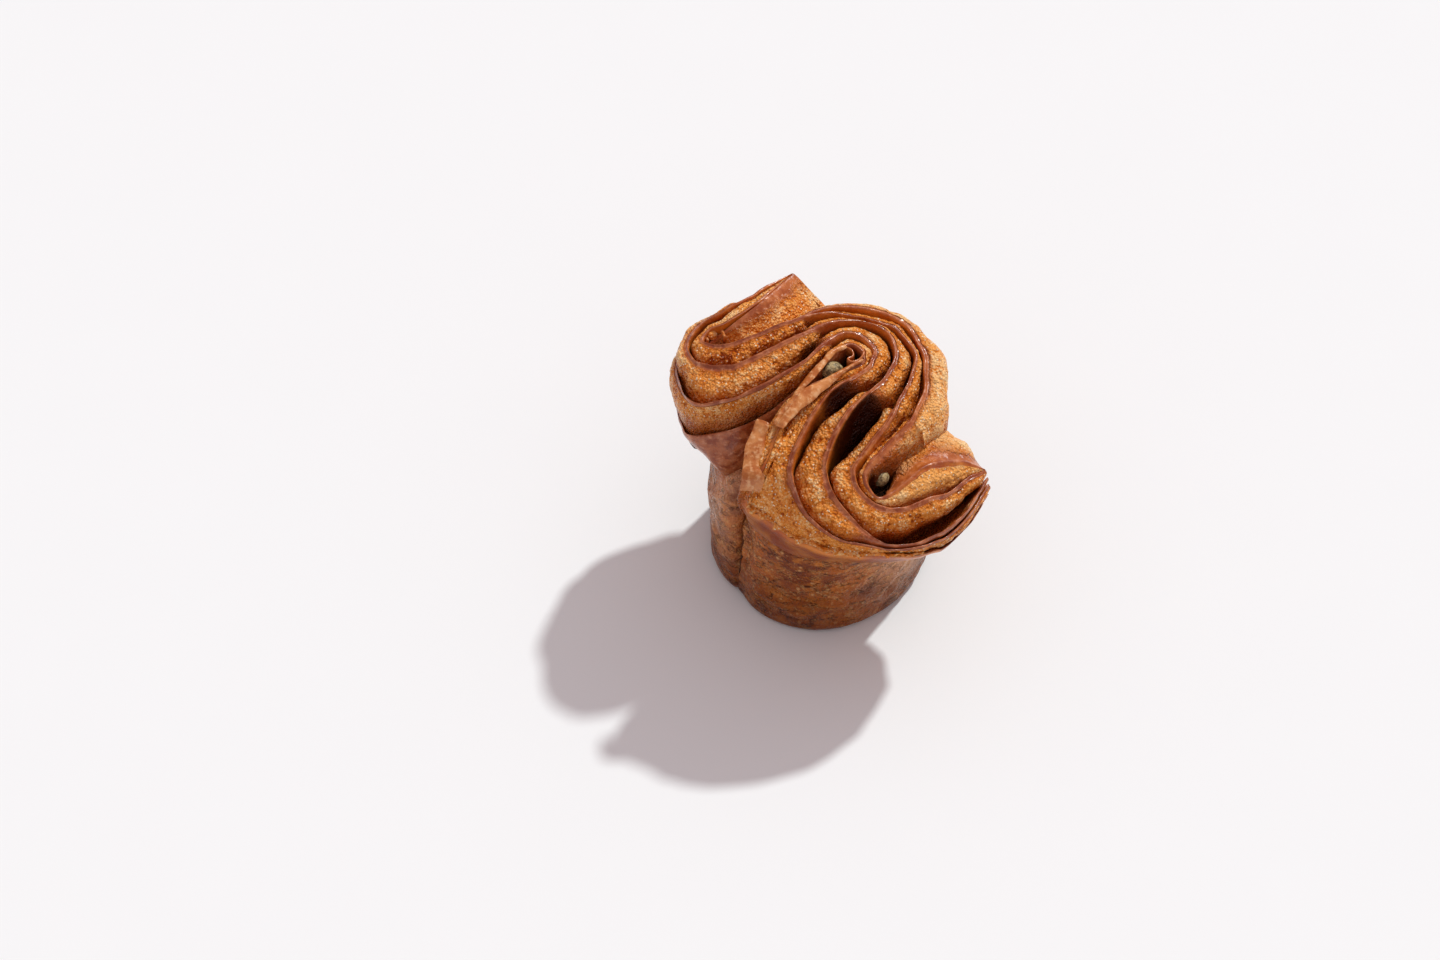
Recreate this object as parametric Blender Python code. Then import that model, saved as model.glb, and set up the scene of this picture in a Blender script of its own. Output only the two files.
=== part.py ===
# Chocolate brioche: a laminated ribbon of five leaves folded back and forth three times, standing on a
# round two-lobed body.  Metres, +Z up, the flat underside on Z = 0 with the base circle's centre at origin.
import bpy
import bmesh
import numpy as np
from math import radians, cos, sin, pi

for old in list(bpy.data.objects):
    bpy.data.objects.remove(old, do_unlink=True)

MM = 0.001

# ---- driving dimensions (mm, degrees) ----
DOME_TOP = 84.0                 # height of the crown's highest lip
DOME_CENTRE = (-4.0, 10.0)      # where the crown is highest
DOME_FALL = 0.0085              # mm of drop per mm squared away from that centre
BODY_RADIUS = 32.0              # the ring it was baked in
BODY_TOP = 52.0                 # body closes here, inside the crown
FOOT_ROUND = 2.6                # rounding of the bottom edge
BELLY = 1.9                     # how far the body swells out at the front
WAIST = 0.72                    # the crown's plan narrows to this share of itself ...
WAIST_Z = (30.0, 58.0)          # ... from the upper of these heights down to the lower
CROWN_FLOOR = 34.0              # underside of the folded ribbon, hidden in the body
LIP = 0.45                      # half thickness of a leaf's lip
CREVICE = 13.0                  # usual depth of the crevice between two leaves
STEP = 3.1                      # length of one facet along the ribbon

# pivots of the folds in plan
TIP_BACK, FLAP, LEFT, RISE = (-8.5, 37.5), (-14.0, 18.0), (-28.0, 15.0), (-14.0, 26.0)
MIDDLE, FALL, FRONT = (8.0, 6.0), (30.0, -14.0), (16.0, -26.0)
LOBE_A, LOBE_B, LOBE_C, TIP_FRONT = (24.0, -12.0), (30.0, -6.0), (38.0, -6.0), (44.5, -16.5)

# one row per station along the ribbon: pivot, bearing, reach of each leaf's lip from the pivot,
# drop of each lip below the dome, outer wall (overhang, slope) past the first leaf and past the last,
# and the side the crumb is on: 0 = on the lower leaf of each pair, 1 = on the upper
STATIONS = [
    (TIP_BACK, 150, (-.05, .15, .5, .8, 1.1), (.1, 0, .3, 4, 10), (16, .62), (3, .5), 0),
    (FLAP, 130, (7.6, 8.1, 12.5, 15.3, 16.8), (.3, 0, 0, 9, 20), (11.5, .80), (4, .3), 0),
    (LEFT, 90, (3.0, 3.7, 9.5, 13.0, 14.5), (2.4, 0, 0, 11, 20), (3.5, 1.0), (4, .2), 0),
    (LEFT, 135, (3.6, 4.9, 8.9, 12.7, 13.7), (4, 0, 0, 9.5, 19), (2.5, 1.0), (3, 0), 0),
    (LEFT, 180, (4.9, 6.2, 10.3, 12.9, 13.1), (4, 0, 0, 5.5, 17), (1.6, 0), (1.5, 0), 0),
    (LEFT, 225, (2.6, 3.9, 10.3, 17.0, 17.5), (4, 0, 0, 1.5, 17), (1.0, 0), (.6, 0), 0),
    (LEFT, 247, (2.4, 3.7, 10.3, 21.2, 23.2), (4, 0, 0, 0, 12.5), (1.0, 0), (.4, 0), 0),
    (LEFT, 270, (2.5, 3.8, 10.7, 21.4, 23.4), (4, 0, 0, 0, 11.6), (1.0, 0), (.4, 0), 0),
    (LEFT, 290, (3.1, 4.4, 11.7, 21.5, 23.7), (4, 0, 0, 0, 11.0), (1.2, .5), (.4, 0), 0),
    (RISE, 285, (9.6, 10.9, 17.0, 25.4, 29.6), (4, 0, 0, 0, 4), (2.0, .5), (.4, 0), .1),
    (RISE, 300, (9.9, 11.1, 16.8, 23.1, 27.2), (4, 0, 0, 0, 0), (2.5, .5), (.4, 0), .4),
    (MIDDLE, 130, (19.4, 16.4, 11.2, 6.8, 3.0), (3, 0, 0, 0, 0), (3.0, .3), (.4, 0), .9),
    (MIDDLE, 110, (17.6, 14.6, 10.7, 6.8, 2.6), (1, 0, 0, 0, 0), (3.0, 0), (.4, 0), 1),
    (MIDDLE, 75, (16.9, 13.0, 11.5, 6.0, 2.0), (0, 0, 0, 0, 0), (3.4, 0), (.4, 0), 1),
    (MIDDLE, 45, (20.0, 15.6, 12.7, 5.4, 1.8), (0, 0, 0, 0, 0), (4.0, 0), (.4, 0), 1),
    (MIDDLE, 10, (19.8, 17.3, 11.6, 5.7, 2.2), (0, 0, 0, 0, 0), (6.4, 0), (.4, 0), 1),
    (MIDDLE, -20, (20.6, 16.0, 10.3, 5.1, 2.2), (0, 0, 0, 0, 0), (7.4, .1), (.4, 0), 1),
    (MIDDLE, -45, (22.5, 17.0, 10.6, 5.6, 3.3), (0, 0, 0, 0, 0), (5.0, .3), (.8, 0), .95),
    (FALL, 165, (7.6, 12.0, 21.7, 29.4, 34.7), (0, 0, 0, 0, 0), (3.8, .5), (2.5, .2), .3),
    (FRONT, 150, (4.4, 7.2, 15.6, 23.4, 29.8), (0, 0, 0, 0, 0), (1.6, .5), (4.5, .3), 0),
    (FRONT, 180, (5.2, 8.6, 16.2, 25.8, 32.9), (0, 0, 0, 0, 1), (1.4, 0), (7.0, .3), 0),
    (FRONT, 184, (5.4, 8.6, 16.1, 25.6, 37.3), (0, 0, 0, 0, 10), (1.3, 0), (1.0, 0), 0),
    (FRONT, 192, (5.8, 8.7, 15.8, 24.9, 33.0), (0, 0, 0, 0, 9), (1.2, 0), (1.0, 0), 0),
    (FRONT, 205, (6.2, 8.7, 15.3, 24.1, 27.8), (0, 0, 0, 0, 8.5), (1.0, 0), (1.0, 0), 0),
    (FRONT, 225, (6.2, 8.2, 14.6, 20.9, 22.2), (0, 0, 0, 0, 5.5), (1.0, 0), (.8, 0), 0),
    (FRONT, 250, (6.2, 7.8, 14.4, 17.2, 18.2), (0, 0, 0, 0, 3), (1.0, 0), (.6, 0), 0),
    (FRONT, 270, (5.3, 7.7, 15.4, 16.4, 16.9), (0, 0, 0, 0, 2.4), (1.0, 0), (.6, 0), 0),
    (FRONT, 305, (4.5, 8.2, 16.4, 17.4, 17.6), (0, 0, 0, 0, 3.4), (3.0, .3), (.6, 0), 0),
    (LOBE_A, 285, (10.7, 17.6, 25.3, 26.5, 26.6), (0, 0, 0, .3, 5), (14.0, .2), (.6, 0), 0),
    (LOBE_B, 275, (13.8, 21.4, 29.3, 30.5, 30.6), (0, 0, 0, .8, 6), (18.0, .03), (.6, 0), 0),
    (LOBE_C, 275, (11.0, 14.8, 21.4, 22.6, 22.8), (0, 0, 0, 1.5, 6.5), (10.5, -.05), (.6, 0), 0),
    (TIP_FRONT, 315, (0, .2, 1.2, 1.8, 2.1), (0, 0, 1.5, 3.6, 8), (5.5, .5), (.6, 0), 0),
]

# where a gap stands open instead of being filled by its crumb: leaf pair, station, share filled, depth
OPEN_GAPS = [(0, None, .8, 4.0), (0, 0, .9, .4), (0, 1, .9, .5), (0, 2, .9, 2.0), (1, 18, .30, 26.0)]
OPEN_GAPS += [(1, 17, .9, 9.0), (2, 18, .82, 13.0), (2, 17, .9, 9.0), (1, 19, .70, 15.0), (2, 19, .94, 11.0)]
OPEN_GAPS += [(3, 17, .95, 2.0), (3, 18, .95, 2.5), (3, 19, .95, 3.0), (3, 20, 1.0, 2.0)]
OPEN_GAPS += [(3, station, 1.03, 1.5) for station in range(21, 27)]
OPEN_GAPS += [(1, 26, .56, 13.0), (1, 27, .46, 14.0), (1, 28, .42, 14.0), (1, 29, .42, 14.0)]
OPEN_GAPS += [(1, 30, .42, 11.0), (1, 0, .98, .6), (1, 1, .98, 1.0), (1, 2, .96, 3.0)]
OPEN_GAPS += [(pair, station, 1.0, 12.0) for pair in (1, 2) for station in (20, 21, 22, 23, 24)]
# where the crumb swells out past its lip: leaf pair, station, amount
PUFFS = [(3, 4, 2.2), (3, 5, 1.4), (3, 3, 1.6), (2, 4, 1.2), (2, 3, 1.4), (2, 2, 1.0)]
# share of the body's radius that the wall past the first leaf and past the last is drawn out to
SKIRTS = [(0, 0)] * 4 + [(0, .6), (0, 1), (0, 1), (0, 1), (0, .8), (0, .3)] + [(0, 0)] * 2
SKIRTS += [(.3, 0), (.8, 0), (1, 0), (1, 0), (.7, 0), (0, 0), (0, 0), (0, 0)]
SKIRTS += [(0, .3), (0, .9), (0, .9), (0, .6), (0, .3)] + [(0, 0)] * 7
SKIRT_Z = 38.0
# filling crumbs: centre, radius
BITS = [((1.6, 1.9, 79.2), 3.0), ((14.6, -23.2, 63.5), 2.8)]
# body creases: bearing, depth, half width
CREASES = [(221, 3.0, 7.5), (218.3, 1.2, 3.0), (86, 3.2, 9.0), (4, 3.2, 9.0)]


def smooth(t):
    t = np.clip(t, 0.0, 1.0)
    return t * t * (3.0 - 2.0 * t)


def waist(z):
    """Share of its full plan that the crown keeps at height z."""
    return WAIST + (1.0 - WAIST) * smooth((z - WAIST_Z[0]) / (WAIST_Z[1] - WAIST_Z[0]))


def dome(x, y):
    return DOME_TOP - DOME_FALL * ((x - DOME_CENTRE[0]) ** 2 + (y - DOME_CENTRE[1]) ** 2)


def course(rows, steps):
    """Smooth curve through the rows, with the given number of steps in each interval."""
    p = np.asarray(rows, float)
    q = np.vstack([2 * p[0] - p[1], p, 2 * p[-1] - p[-2]])
    out = []
    for k, n in enumerate(steps):
        p0, p1, p2, p3 = q[k:k + 4]
        d = [max(float(np.linalg.norm(b[:3] - a[:3])), 1e-3) ** .5 for a, b in ((p0, p1), (p1, p2), (p2, p3))]
        m1 = d[1] * ((p1 - p0) / d[0] - (p2 - p0) / (d[0] + d[1]) + (p2 - p1) / d[1])
        m2 = d[1] * ((p2 - p1) / d[1] - (p3 - p1) / (d[1] + d[2]) + (p3 - p2) / d[2])
        for f in np.arange(n) / n:
            out.append((2 * f**3 - 3 * f**2 + 1) * p1 + (f**3 - 2 * f**2 + f) * m1
                       + (3 * f**2 - 2 * f**3) * p2 + (f**3 - f**2) * m2)
    return np.array(out + [p[-1]])


def lip_rows(leaf):
    rows = []
    for pivot, bearing, reach, drop, *_ in STATIONS:
        x = pivot[0] + reach[leaf] * cos(radians(bearing))
        y = pivot[1] + reach[leaf] * sin(radians(bearing))
        z = dome(x, y) - drop[leaf]
        rows.append((x / waist(z), y / waist(z), z))
    return np.array(rows)


def steps_between(rows_of_leaves):
    mean = sum(np.linalg.norm(np.diff(r, axis=0), axis=1) for r in rows_of_leaves) / len(rows_of_leaves)
    return [max(1, int(round(d / STEP))) for d in mean]


def along(values, steps):
    """Station values carried smoothly along the samples."""
    v = np.asarray(values, float)
    out = []
    for k, n in enumerate(steps):
        for f in np.arange(n) / n:
            out.append(v[k] + (v[k + 1] - v[k]) * smooth(f))
    return np.array(out + [v[-1]])


def crumb_then_collar(g, fill, deep, za, zb, puff):
    """Lateral and height columns from a crumbed lip to the collar beside it, a gap g away."""
    lip = np.minimum(LIP, .2 * g)
    w = fill * np.maximum(g - 2.2 * lip - .35, .1 * g)
    extra = np.maximum(za - zb, 0.0)
    bottom = np.minimum(za - deep - extra, zb - .5 * deep)
    fall = za - bottom
    lateral = [lip + share * w + more * puff
               for share, more in ((0, 0), (.28, .55), (.66, 1), (.93, .95), (1, 0))]
    lateral += [.5 * (w + g), g - 1.2 * lip, g - lip]
    swell = [(.35, .02, .03), (.40, .06, .08), (.50, .15, .20), (.70, .36, .45)]
    height = [za - np.minimum(base + wide * g + far * extra, .7 * fall) for base, wide, far in swell]
    height += [za - .80 * fall, bottom, zb - .55 * (zb - bottom), zb - .08 * (zb - bottom)]
    return lateral, height


def crumb_on_both(g, deep, share, za, zb):
    """The same columns where both leaves are swollen and a slit opens between them."""
    lip, w = np.minimum(LIP, .2 * g), share * g
    bottom = np.minimum(za, zb) - deep
    lateral = [lip, lip + .35 * w, lip + w, .44 * g, .56 * g, g - lip - w, g - lip - .35 * w, g - lip]
    height = [za - .3, za - .35 - .10 * w, za - .8 - .55 * w, bottom, bottom + .02,
              zb - .8 - .55 * w, zb - .35 - .10 * w, zb - .3]
    return lateral, height


def outer_wall(w, slope, z):
    """Lateral and height columns from a lip outward and down to the crown's floor."""
    o = [.25 + .06 * w, .30 * w + .3, .68 * w + .3, .94 * w + .3, w + .3, .9 * w]
    u = [.5, .8 + .3 * slope * w, 1.9 + .68 * slope * w, 5.0 + .94 * slope * w, 11.0 + slope * w]
    h = [np.maximum(z - v, CROWN_FLOOR + 6.0 - k) for k, v in enumerate(u)] + [np.full_like(z, CROWN_FLOOR)]
    return o, h


def ribbon_sections():
    """Array (samples, section points, 3): the folded ribbon's closed cross-section at every sample."""
    rows = [lip_rows(i) for i in range(5)]
    steps = steps_between(rows)
    lips = [course(r, steps) for r in rows]
    side = along([s[6] for s in STATIONS], steps)
    lower, upper, both = np.clip(1 - 2 * side, 0, 1), np.clip(2 * side - 1, 0, 1), 1 - np.abs(2 * side - 1)
    cols = []
    n = len(lips[0])

    def add(origin, direction, lateral, height, flip=False):
        pts = [np.column_stack([origin[:, :2] + direction * l[:, None], h]) for l, h in zip(lateral, height)]
        cols.extend(reversed(pts) if flip else pts)

    def unit(a, b):
        d = b[:, :2] - a[:, :2]
        return d / np.maximum(np.linalg.norm(d, axis=1), 1e-6)[:, None]

    wa, sa = along([s[4][0] for s in STATIONS], steps), along([s[4][1] for s in STATIONS], steps)
    wb, sb = along([s[5][0] for s in STATIONS], steps), along([s[5][1] for s in STATIONS], steps)
    add(lips[0], unit(lips[1], lips[0]), *outer_wall(wa, sa, lips[0][:, 2]), flip=True)
    for i in range(4):
        a, b = lips[i], lips[i + 1]
        g = np.linalg.norm(b[:, :2] - a[:, :2], axis=1)
        fill, deep = np.full(len(STATIONS), .9), np.full(len(STATIONS), CREVICE)
        puff = np.zeros(len(STATIONS))
        for pair, station, share, depth in OPEN_GAPS:
            if pair == i:
                fill[slice(None) if station is None else station] = share
                deep[slice(None) if station is None else station] = depth
        for pair, station, size in PUFFS:
            if pair == i:
                puff[station] = size
        fill, deep, puff = along(fill, steps), along(deep, steps), along(puff, steps)
        deep = np.minimum(deep, 3.0 + 2.2 * g)
        cols.append(a)
        e = unit(a, b)
        lat, hgt = crumb_then_collar(g, fill, deep, a[:, 2], b[:, 2], puff)
        lat2, hgt2 = crumb_then_collar(g, fill, deep, b[:, 2], a[:, 2], puff)
        lat3, hgt3 = crumb_on_both(g, deep, .33, a[:, 2], b[:, 2])
        for k in range(len(lat)):
            on_a = np.column_stack([a[:, :2] + e * lat[k][:, None], hgt[k]])
            on_b = np.column_stack([b[:, :2] - e * lat2[-1 - k][:, None], hgt2[-1 - k]])
            on_both = np.column_stack([a[:, :2] + e * lat3[k][:, None], hgt3[k]])
            cols.append(on_a * lower[:, None] + on_b * upper[:, None] + on_both * both[:, None])
    cols.append(lips[4])
    add(lips[4], unit(lips[3], lips[4]), *outer_wall(wb, sb, lips[4][:, 2]))
    grid = np.stack(cols, axis=1)
    grid[:, :, :2] *= waist(grid[:, :, 2])[:, :, None]
    grid[:, [0, -1], :2] *= .9
    skirt(grid, slice(0, 6), along([a for a, _ in SKIRTS], steps), lips[0][:, 2])
    skirt(grid, slice(-6, None), along([b for _, b in SKIRTS], steps), lips[4][:, 2])
    return grid


def skirt(grid, cols, share, top):
    """Draw an outer wall out to the body's own radius below its lip, where its share is not zero."""
    part = grid[:, cols]
    r = np.linalg.norm(part[:, :, :2], axis=2)
    t = share[:, None] * smooth((top[:, None] - part[:, :, 2]) / np.maximum(top[:, None] - SKIRT_Z, 1.0))
    part[:, :, :2] *= (1.0 + t * (np.maximum(BODY_RADIUS - 3.0, r) / np.maximum(r, 1.0) - 1.0))[:, :, None]


def mesh_object(name, verts, faces, material):
    mesh = bpy.data.meshes.new(name)
    mesh.from_pydata([tuple(v) for v in np.asarray(verts) * MM], [], faces)
    obj = bpy.data.objects.new(name, mesh)
    bpy.context.collection.objects.link(obj)
    bm = bmesh.new()
    bm.from_mesh(mesh)
    bmesh.ops.remove_doubles(bm, verts=bm.verts, dist=2e-5)
    bmesh.ops.triangulate(bm, faces=bm.faces)
    bmesh.ops.recalc_face_normals(bm, faces=bm.faces)
    bm.to_mesh(mesh)
    bm.free()
    mesh.materials.append(material)
    return obj


def ribbon(material):
    grid = ribbon_sections()
    n, m, _ = grid.shape
    faces = []
    for j in range(n - 1):
        for k in range(m):
            k2 = (k + 1) % m
            faces.append((j * m + k, (j + 1) * m + k, (j + 1) * m + k2, j * m + k2))
    faces.append(tuple(range(m)))
    faces.append(tuple(range(n * m - 1, (n - 1) * m - 1, -1)))
    return mesh_object("ribbon", grid.reshape(-1, 3), faces, material)


def body_radius(bearing, z):
    crease = 0.0
    for at, depth, half in CREASES:
        away = (bearing - at + 180.0) % 360.0 - 180.0
        crease += depth * (.4 + 1.5 * smooth((z - 6.0) / 42.0)) * np.exp(-(away / half) ** 2)
    front = np.exp(-(((bearing - 286.0 + 180.0) % 360.0 - 180.0) / 48.0) ** 2)
    right = np.exp(-(((bearing - 340.0 + 180.0) % 360.0 - 180.0) / 45.0) ** 2)
    flare = 1.0 + (.21 * front + .04 * right) * smooth((z - 26.0) / 22.0)
    belly = BELLY * np.exp(-(((bearing - 262.0 + 180.0) % 360.0 - 180.0) / 32.0) ** 2)
    return (BODY_RADIUS + belly - crease) * flare


def body(material):
    sides, verts, faces = 72, [], []
    rings = [(0.0, FOOT_ROUND), (.8, 1.1), (2.6, .2), (6.0, 0.0), (14.0, 0.0), (22.0, 0.0), (30.0, .2),
             (36.0, .8), (41.0, 2.2), (45.5, 4.5), (49.5, 9.0), (BODY_TOP, 17.0)]
    for z, inset in rings:
        for s in range(sides):
            b = 360.0 * s / sides
            r = body_radius(b, z) - inset
            verts.append((r * cos(radians(b)), r * sin(radians(b)), z))
    for j in range(len(rings) - 1):
        for s in range(sides):
            t = (s + 1) % sides
            faces.append((j * sides + s, j * sides + t, (j + 1) * sides + t, (j + 1) * sides + s))
    low, high = len(verts), len(verts) + 1
    verts += [(0, 0, 0), (0, 0, BODY_TOP + .5)]
    top = (len(rings) - 1) * sides
    for s in range(sides):
        t = (s + 1) % sides
        faces += [(low, t, s), (high, top + s, top + t)]
    return mesh_object("body", verts, faces, material)


def bit(centre, radius, material):
    bm = bmesh.new()
    bmesh.ops.create_icosphere(bm, subdivisions=2, radius=1.0)
    verts = [np.array(v.co) for v in bm.verts]
    faces = [tuple(v.index for v in f.verts) for f in bm.faces]
    bm.free()
    out = []
    for v in verts:
        k = 1.0 + .12 * sin(5.1 * v[0] + 2.0) * cos(4.3 * v[1]) + .10 * sin(6.2 * v[2] + centre[0])
        out.append(np.array(centre) + v * radius * k * np.array([1.0, .85, .9]))
    return mesh_object("bit", out, faces, material)


def crust():
    mat = bpy.data.materials.new("browned_crust")
    mat.use_nodes = True
    bsdf = mat.node_tree.nodes["Principled BSDF"]
    bsdf.inputs["Base Color"].default_value = (.42, .19, .07, 1)
    bsdf.inputs["Roughness"].default_value = .55
    return mat


material = crust()
pieces = [ribbon(material), body(material)] + [bit(c, r, material) for c, r in BITS]
brioche = pieces[0]
brioche.name = "brioche"
group = bpy.data.collections.new("joined")
bpy.context.scene.collection.children.link(group)
for piece in pieces[1:]:
    group.objects.link(piece)
union = brioche.modifiers.new("union", "BOOLEAN")
union.operation = "UNION"
union.operand_type = "COLLECTION"
union.collection = group
union.solver = "EXACT"
union.use_self = True
with bpy.context.temp_override(object=brioche, active_object=brioche, selected_objects=[brioche]):
    bpy.ops.object.modifier_apply(modifier=union.name)
for piece in pieces[1:]:
    bpy.data.objects.remove(piece, do_unlink=True)
bpy.data.collections.remove(group)
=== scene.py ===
# Looks of the chocolate brioche: the ribbon of five leaves, the round body, thin leaves and a torn fringe on
# the crown, the curls and crumbs in its pockets, their materials, the floor, light and camera.
# Lengths are in millimetres and angles in degrees, unless a comment says otherwise.
import bpy
import numpy as np
from math import radians, cos, sin, pi
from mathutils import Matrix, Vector


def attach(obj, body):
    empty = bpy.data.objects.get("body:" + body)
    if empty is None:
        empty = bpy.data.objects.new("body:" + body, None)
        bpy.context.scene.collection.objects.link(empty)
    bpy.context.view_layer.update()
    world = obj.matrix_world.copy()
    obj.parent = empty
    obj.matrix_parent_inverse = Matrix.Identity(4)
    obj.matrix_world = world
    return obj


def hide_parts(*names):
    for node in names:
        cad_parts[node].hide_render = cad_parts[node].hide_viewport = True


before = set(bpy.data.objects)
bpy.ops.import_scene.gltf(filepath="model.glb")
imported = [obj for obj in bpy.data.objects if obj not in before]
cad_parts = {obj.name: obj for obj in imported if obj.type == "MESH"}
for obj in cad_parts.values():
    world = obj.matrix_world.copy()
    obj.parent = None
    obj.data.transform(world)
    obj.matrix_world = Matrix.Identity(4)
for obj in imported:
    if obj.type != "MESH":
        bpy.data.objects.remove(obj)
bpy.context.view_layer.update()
MM = 0.001

# ---------------------------------------------------------------- camera
LENS, SENSOR, PITCH = 85.0, 36.0, 35.0
CAMERA_AT = (-0.0291, -0.5598, 0.8288)      # metres
cam_data = bpy.data.cameras.new("camera")
cam = bpy.data.objects.new("camera", cam_data)
bpy.context.scene.collection.objects.link(cam)
cam_data.lens, cam_data.sensor_width = LENS, SENSOR
cam_data.clip_start, cam_data.clip_end = 0.05, 20.0
cam.location = CAMERA_AT
cam.rotation_euler = (radians(PITCH), 0.0, 0.0)
bpy.context.scene.camera = cam

# ---------------------------------------------------------------- dimensions shared with the CAD
DOME_TOP, DOME_CENTRE, DOME_FALL = 84.0, (-4.0, 10.0), 0.0085
BODY_RADIUS, BELLY = 32.0, 1.9
WAIST, WAIST_Z, WRAP_Z, CROWN_FLOOR = 0.72, (30.0, 58.0), 44.0, 34.0
LIP, CREVICE = 0.45, 13.0
STEP = 0.34               # between two sections of the ribbon

# pivots that the sections turn about
TIP_BACK, FLAP, LEFT, RISE = (-8.5, 37.5), (-14.0, 18.0), (-28.0, 15.0), (-14.0, 26.0)
MIDDLE, FALL, FRONT = (8.0, 6.0), (30.0, -14.0), (16.0, -26.0)
LOBE_A, LOBE_B, LOBE_C, TIP_FRONT = (24.0, -12.0), (30.0, -6.0), (38.0, -6.0), (44.5, -16.5)

# pivot, bearing, reach of each lip, drop of each lip, walls past the first and last leaf, crumb side
STATIONS = [
    (TIP_BACK, 150, (-.05, .15, .5, .8, 1.1), (.1, 0, .3, 4, 10), (16, .62), (3, .5), 0),
    (FLAP, 130, (7.6, 8.1, 12.5, 15.3, 16.8), (.3, 0, 0, 9, 20), (11.5, .80), (4, .3), 0),
    (LEFT, 90, (3.0, 3.7, 9.5, 13.0, 14.5), (2.4, 0, 0, 11, 20), (3.5, 1.0), (4, .2), 0),
    (LEFT, 135, (3.6, 4.9, 8.9, 12.7, 13.7), (4, 0, 0, 9.5, 19), (2.5, 1.0), (3, 0), 0),
    (LEFT, 180, (4.9, 6.2, 10.3, 12.9, 13.1), (4, 0, 0, 5.5, 17), (1.6, 0), (1.5, 0), 0),
    (LEFT, 225, (2.6, 3.9, 10.3, 17.0, 17.5), (4, 0, 0, 1.5, 17), (1.0, 0), (.6, 0), 0),
    (LEFT, 247, (2.4, 3.7, 10.3, 21.2, 23.2), (4, 0, 0, 0, 12.5), (1.0, 0), (.4, 0), 0),
    (LEFT, 270, (2.5, 3.8, 10.7, 21.4, 23.4), (4, 0, 0, 0, 11.6), (1.0, 0), (.4, 0), 0),
    (LEFT, 290, (3.1, 4.4, 11.7, 21.5, 23.7), (4, 0, 0, 0, 11.0), (1.2, .5), (.4, 0), 0),
    (RISE, 285, (9.6, 10.9, 17.0, 25.4, 29.6), (4, 0, 0, 0, 4), (2.0, .5), (.4, 0), .1),
    (RISE, 300, (9.9, 11.1, 16.8, 23.1, 27.2), (4, 0, 0, 0, 0), (2.5, .5), (.4, 0), .4),
    (MIDDLE, 130, (19.4, 16.4, 11.2, 6.8, 3.0), (3, 0, 0, 0, 0), (3.0, .3), (.4, 0), .9),
    (MIDDLE, 110, (17.6, 14.6, 10.7, 6.8, 2.6), (1, 0, 0, 0, 0), (3.0, 0), (.4, 0), 1),
    (MIDDLE, 75, (16.9, 13.0, 11.5, 6.0, 2.0), (0, 0, 0, 0, 0), (3.4, 0), (.4, 0), 1),
    (MIDDLE, 45, (20.0, 15.6, 12.7, 5.4, 1.8), (0, 0, 0, 0, 0), (4.0, 0), (.4, 0), 1),
    (MIDDLE, 10, (19.8, 17.3, 11.6, 5.7, 2.2), (0, 0, 0, 0, 0), (6.4, 0), (.4, 0), 1),
    (MIDDLE, -20, (20.6, 16.0, 10.3, 5.1, 2.2), (0, 0, 0, 0, 0), (7.4, .1), (.4, 0), 1),
    (MIDDLE, -45, (22.5, 17.0, 10.6, 5.6, 3.3), (0, 0, 0, 0, 0), (5.0, .3), (.8, 0), .95),
    (FALL, 165, (7.6, 12.0, 21.7, 29.4, 34.7), (0, 0, 0, 0, 0), (3.8, .5), (2.5, .2), .3),
    (FRONT, 150, (4.4, 7.2, 15.6, 23.4, 29.8), (0, 0, 0, 0, 0), (1.6, .5), (4.5, .3), 0),
    (FRONT, 180, (5.2, 8.6, 16.2, 25.8, 32.9), (0, 0, 0, 0, 1), (1.4, 0), (7.0, .3), 0),
    (FRONT, 184, (5.4, 8.6, 16.1, 25.6, 37.3), (0, 0, 0, 0, 10), (1.3, 0), (1.0, 0), 0),
    (FRONT, 192, (5.8, 8.7, 15.8, 24.9, 33.0), (0, 0, 0, 0, 9), (1.2, 0), (1.0, 0), 0),
    (FRONT, 205, (6.2, 8.7, 15.3, 24.1, 27.8), (0, 0, 0, 0, 8.5), (1.0, 0), (1.0, 0), 0),
    (FRONT, 225, (6.2, 8.2, 14.6, 20.9, 22.2), (0, 0, 0, 0, 5.5), (1.0, 0), (.8, 0), 0),
    (FRONT, 250, (6.2, 7.8, 14.4, 17.2, 18.2), (0, 0, 0, 0, 3), (1.0, 0), (.6, 0), 0),
    (FRONT, 270, (5.3, 7.7, 15.4, 16.4, 16.9), (0, 0, 0, 0, 2.4), (1.0, 0), (.6, 0), 0),
    (FRONT, 305, (4.5, 8.2, 16.4, 17.4, 17.6), (0, 0, 0, 0, 3.4), (3.0, .3), (.6, 0), 0),
    (LOBE_A, 285, (10.7, 17.6, 25.3, 26.5, 26.6), (0, 0, 0, .3, 5), (14.0, .2), (.6, 0), 0),
    (LOBE_B, 275, (13.8, 21.4, 29.3, 30.5, 30.6), (0, 0, 0, .8, 6), (18.0, .03), (.6, 0), 0),
    (LOBE_C, 275, (11.0, 14.8, 21.4, 22.6, 22.8), (0, 0, 0, 1.5, 6.5), (10.5, -.05), (.6, 0), 0),
    (TIP_FRONT, 315, (0, .2, 1.2, 1.8, 2.1), (0, 0, 1.5, 3.6, 8), (5.5, .5), (.6, 0), 0),
]
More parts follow.
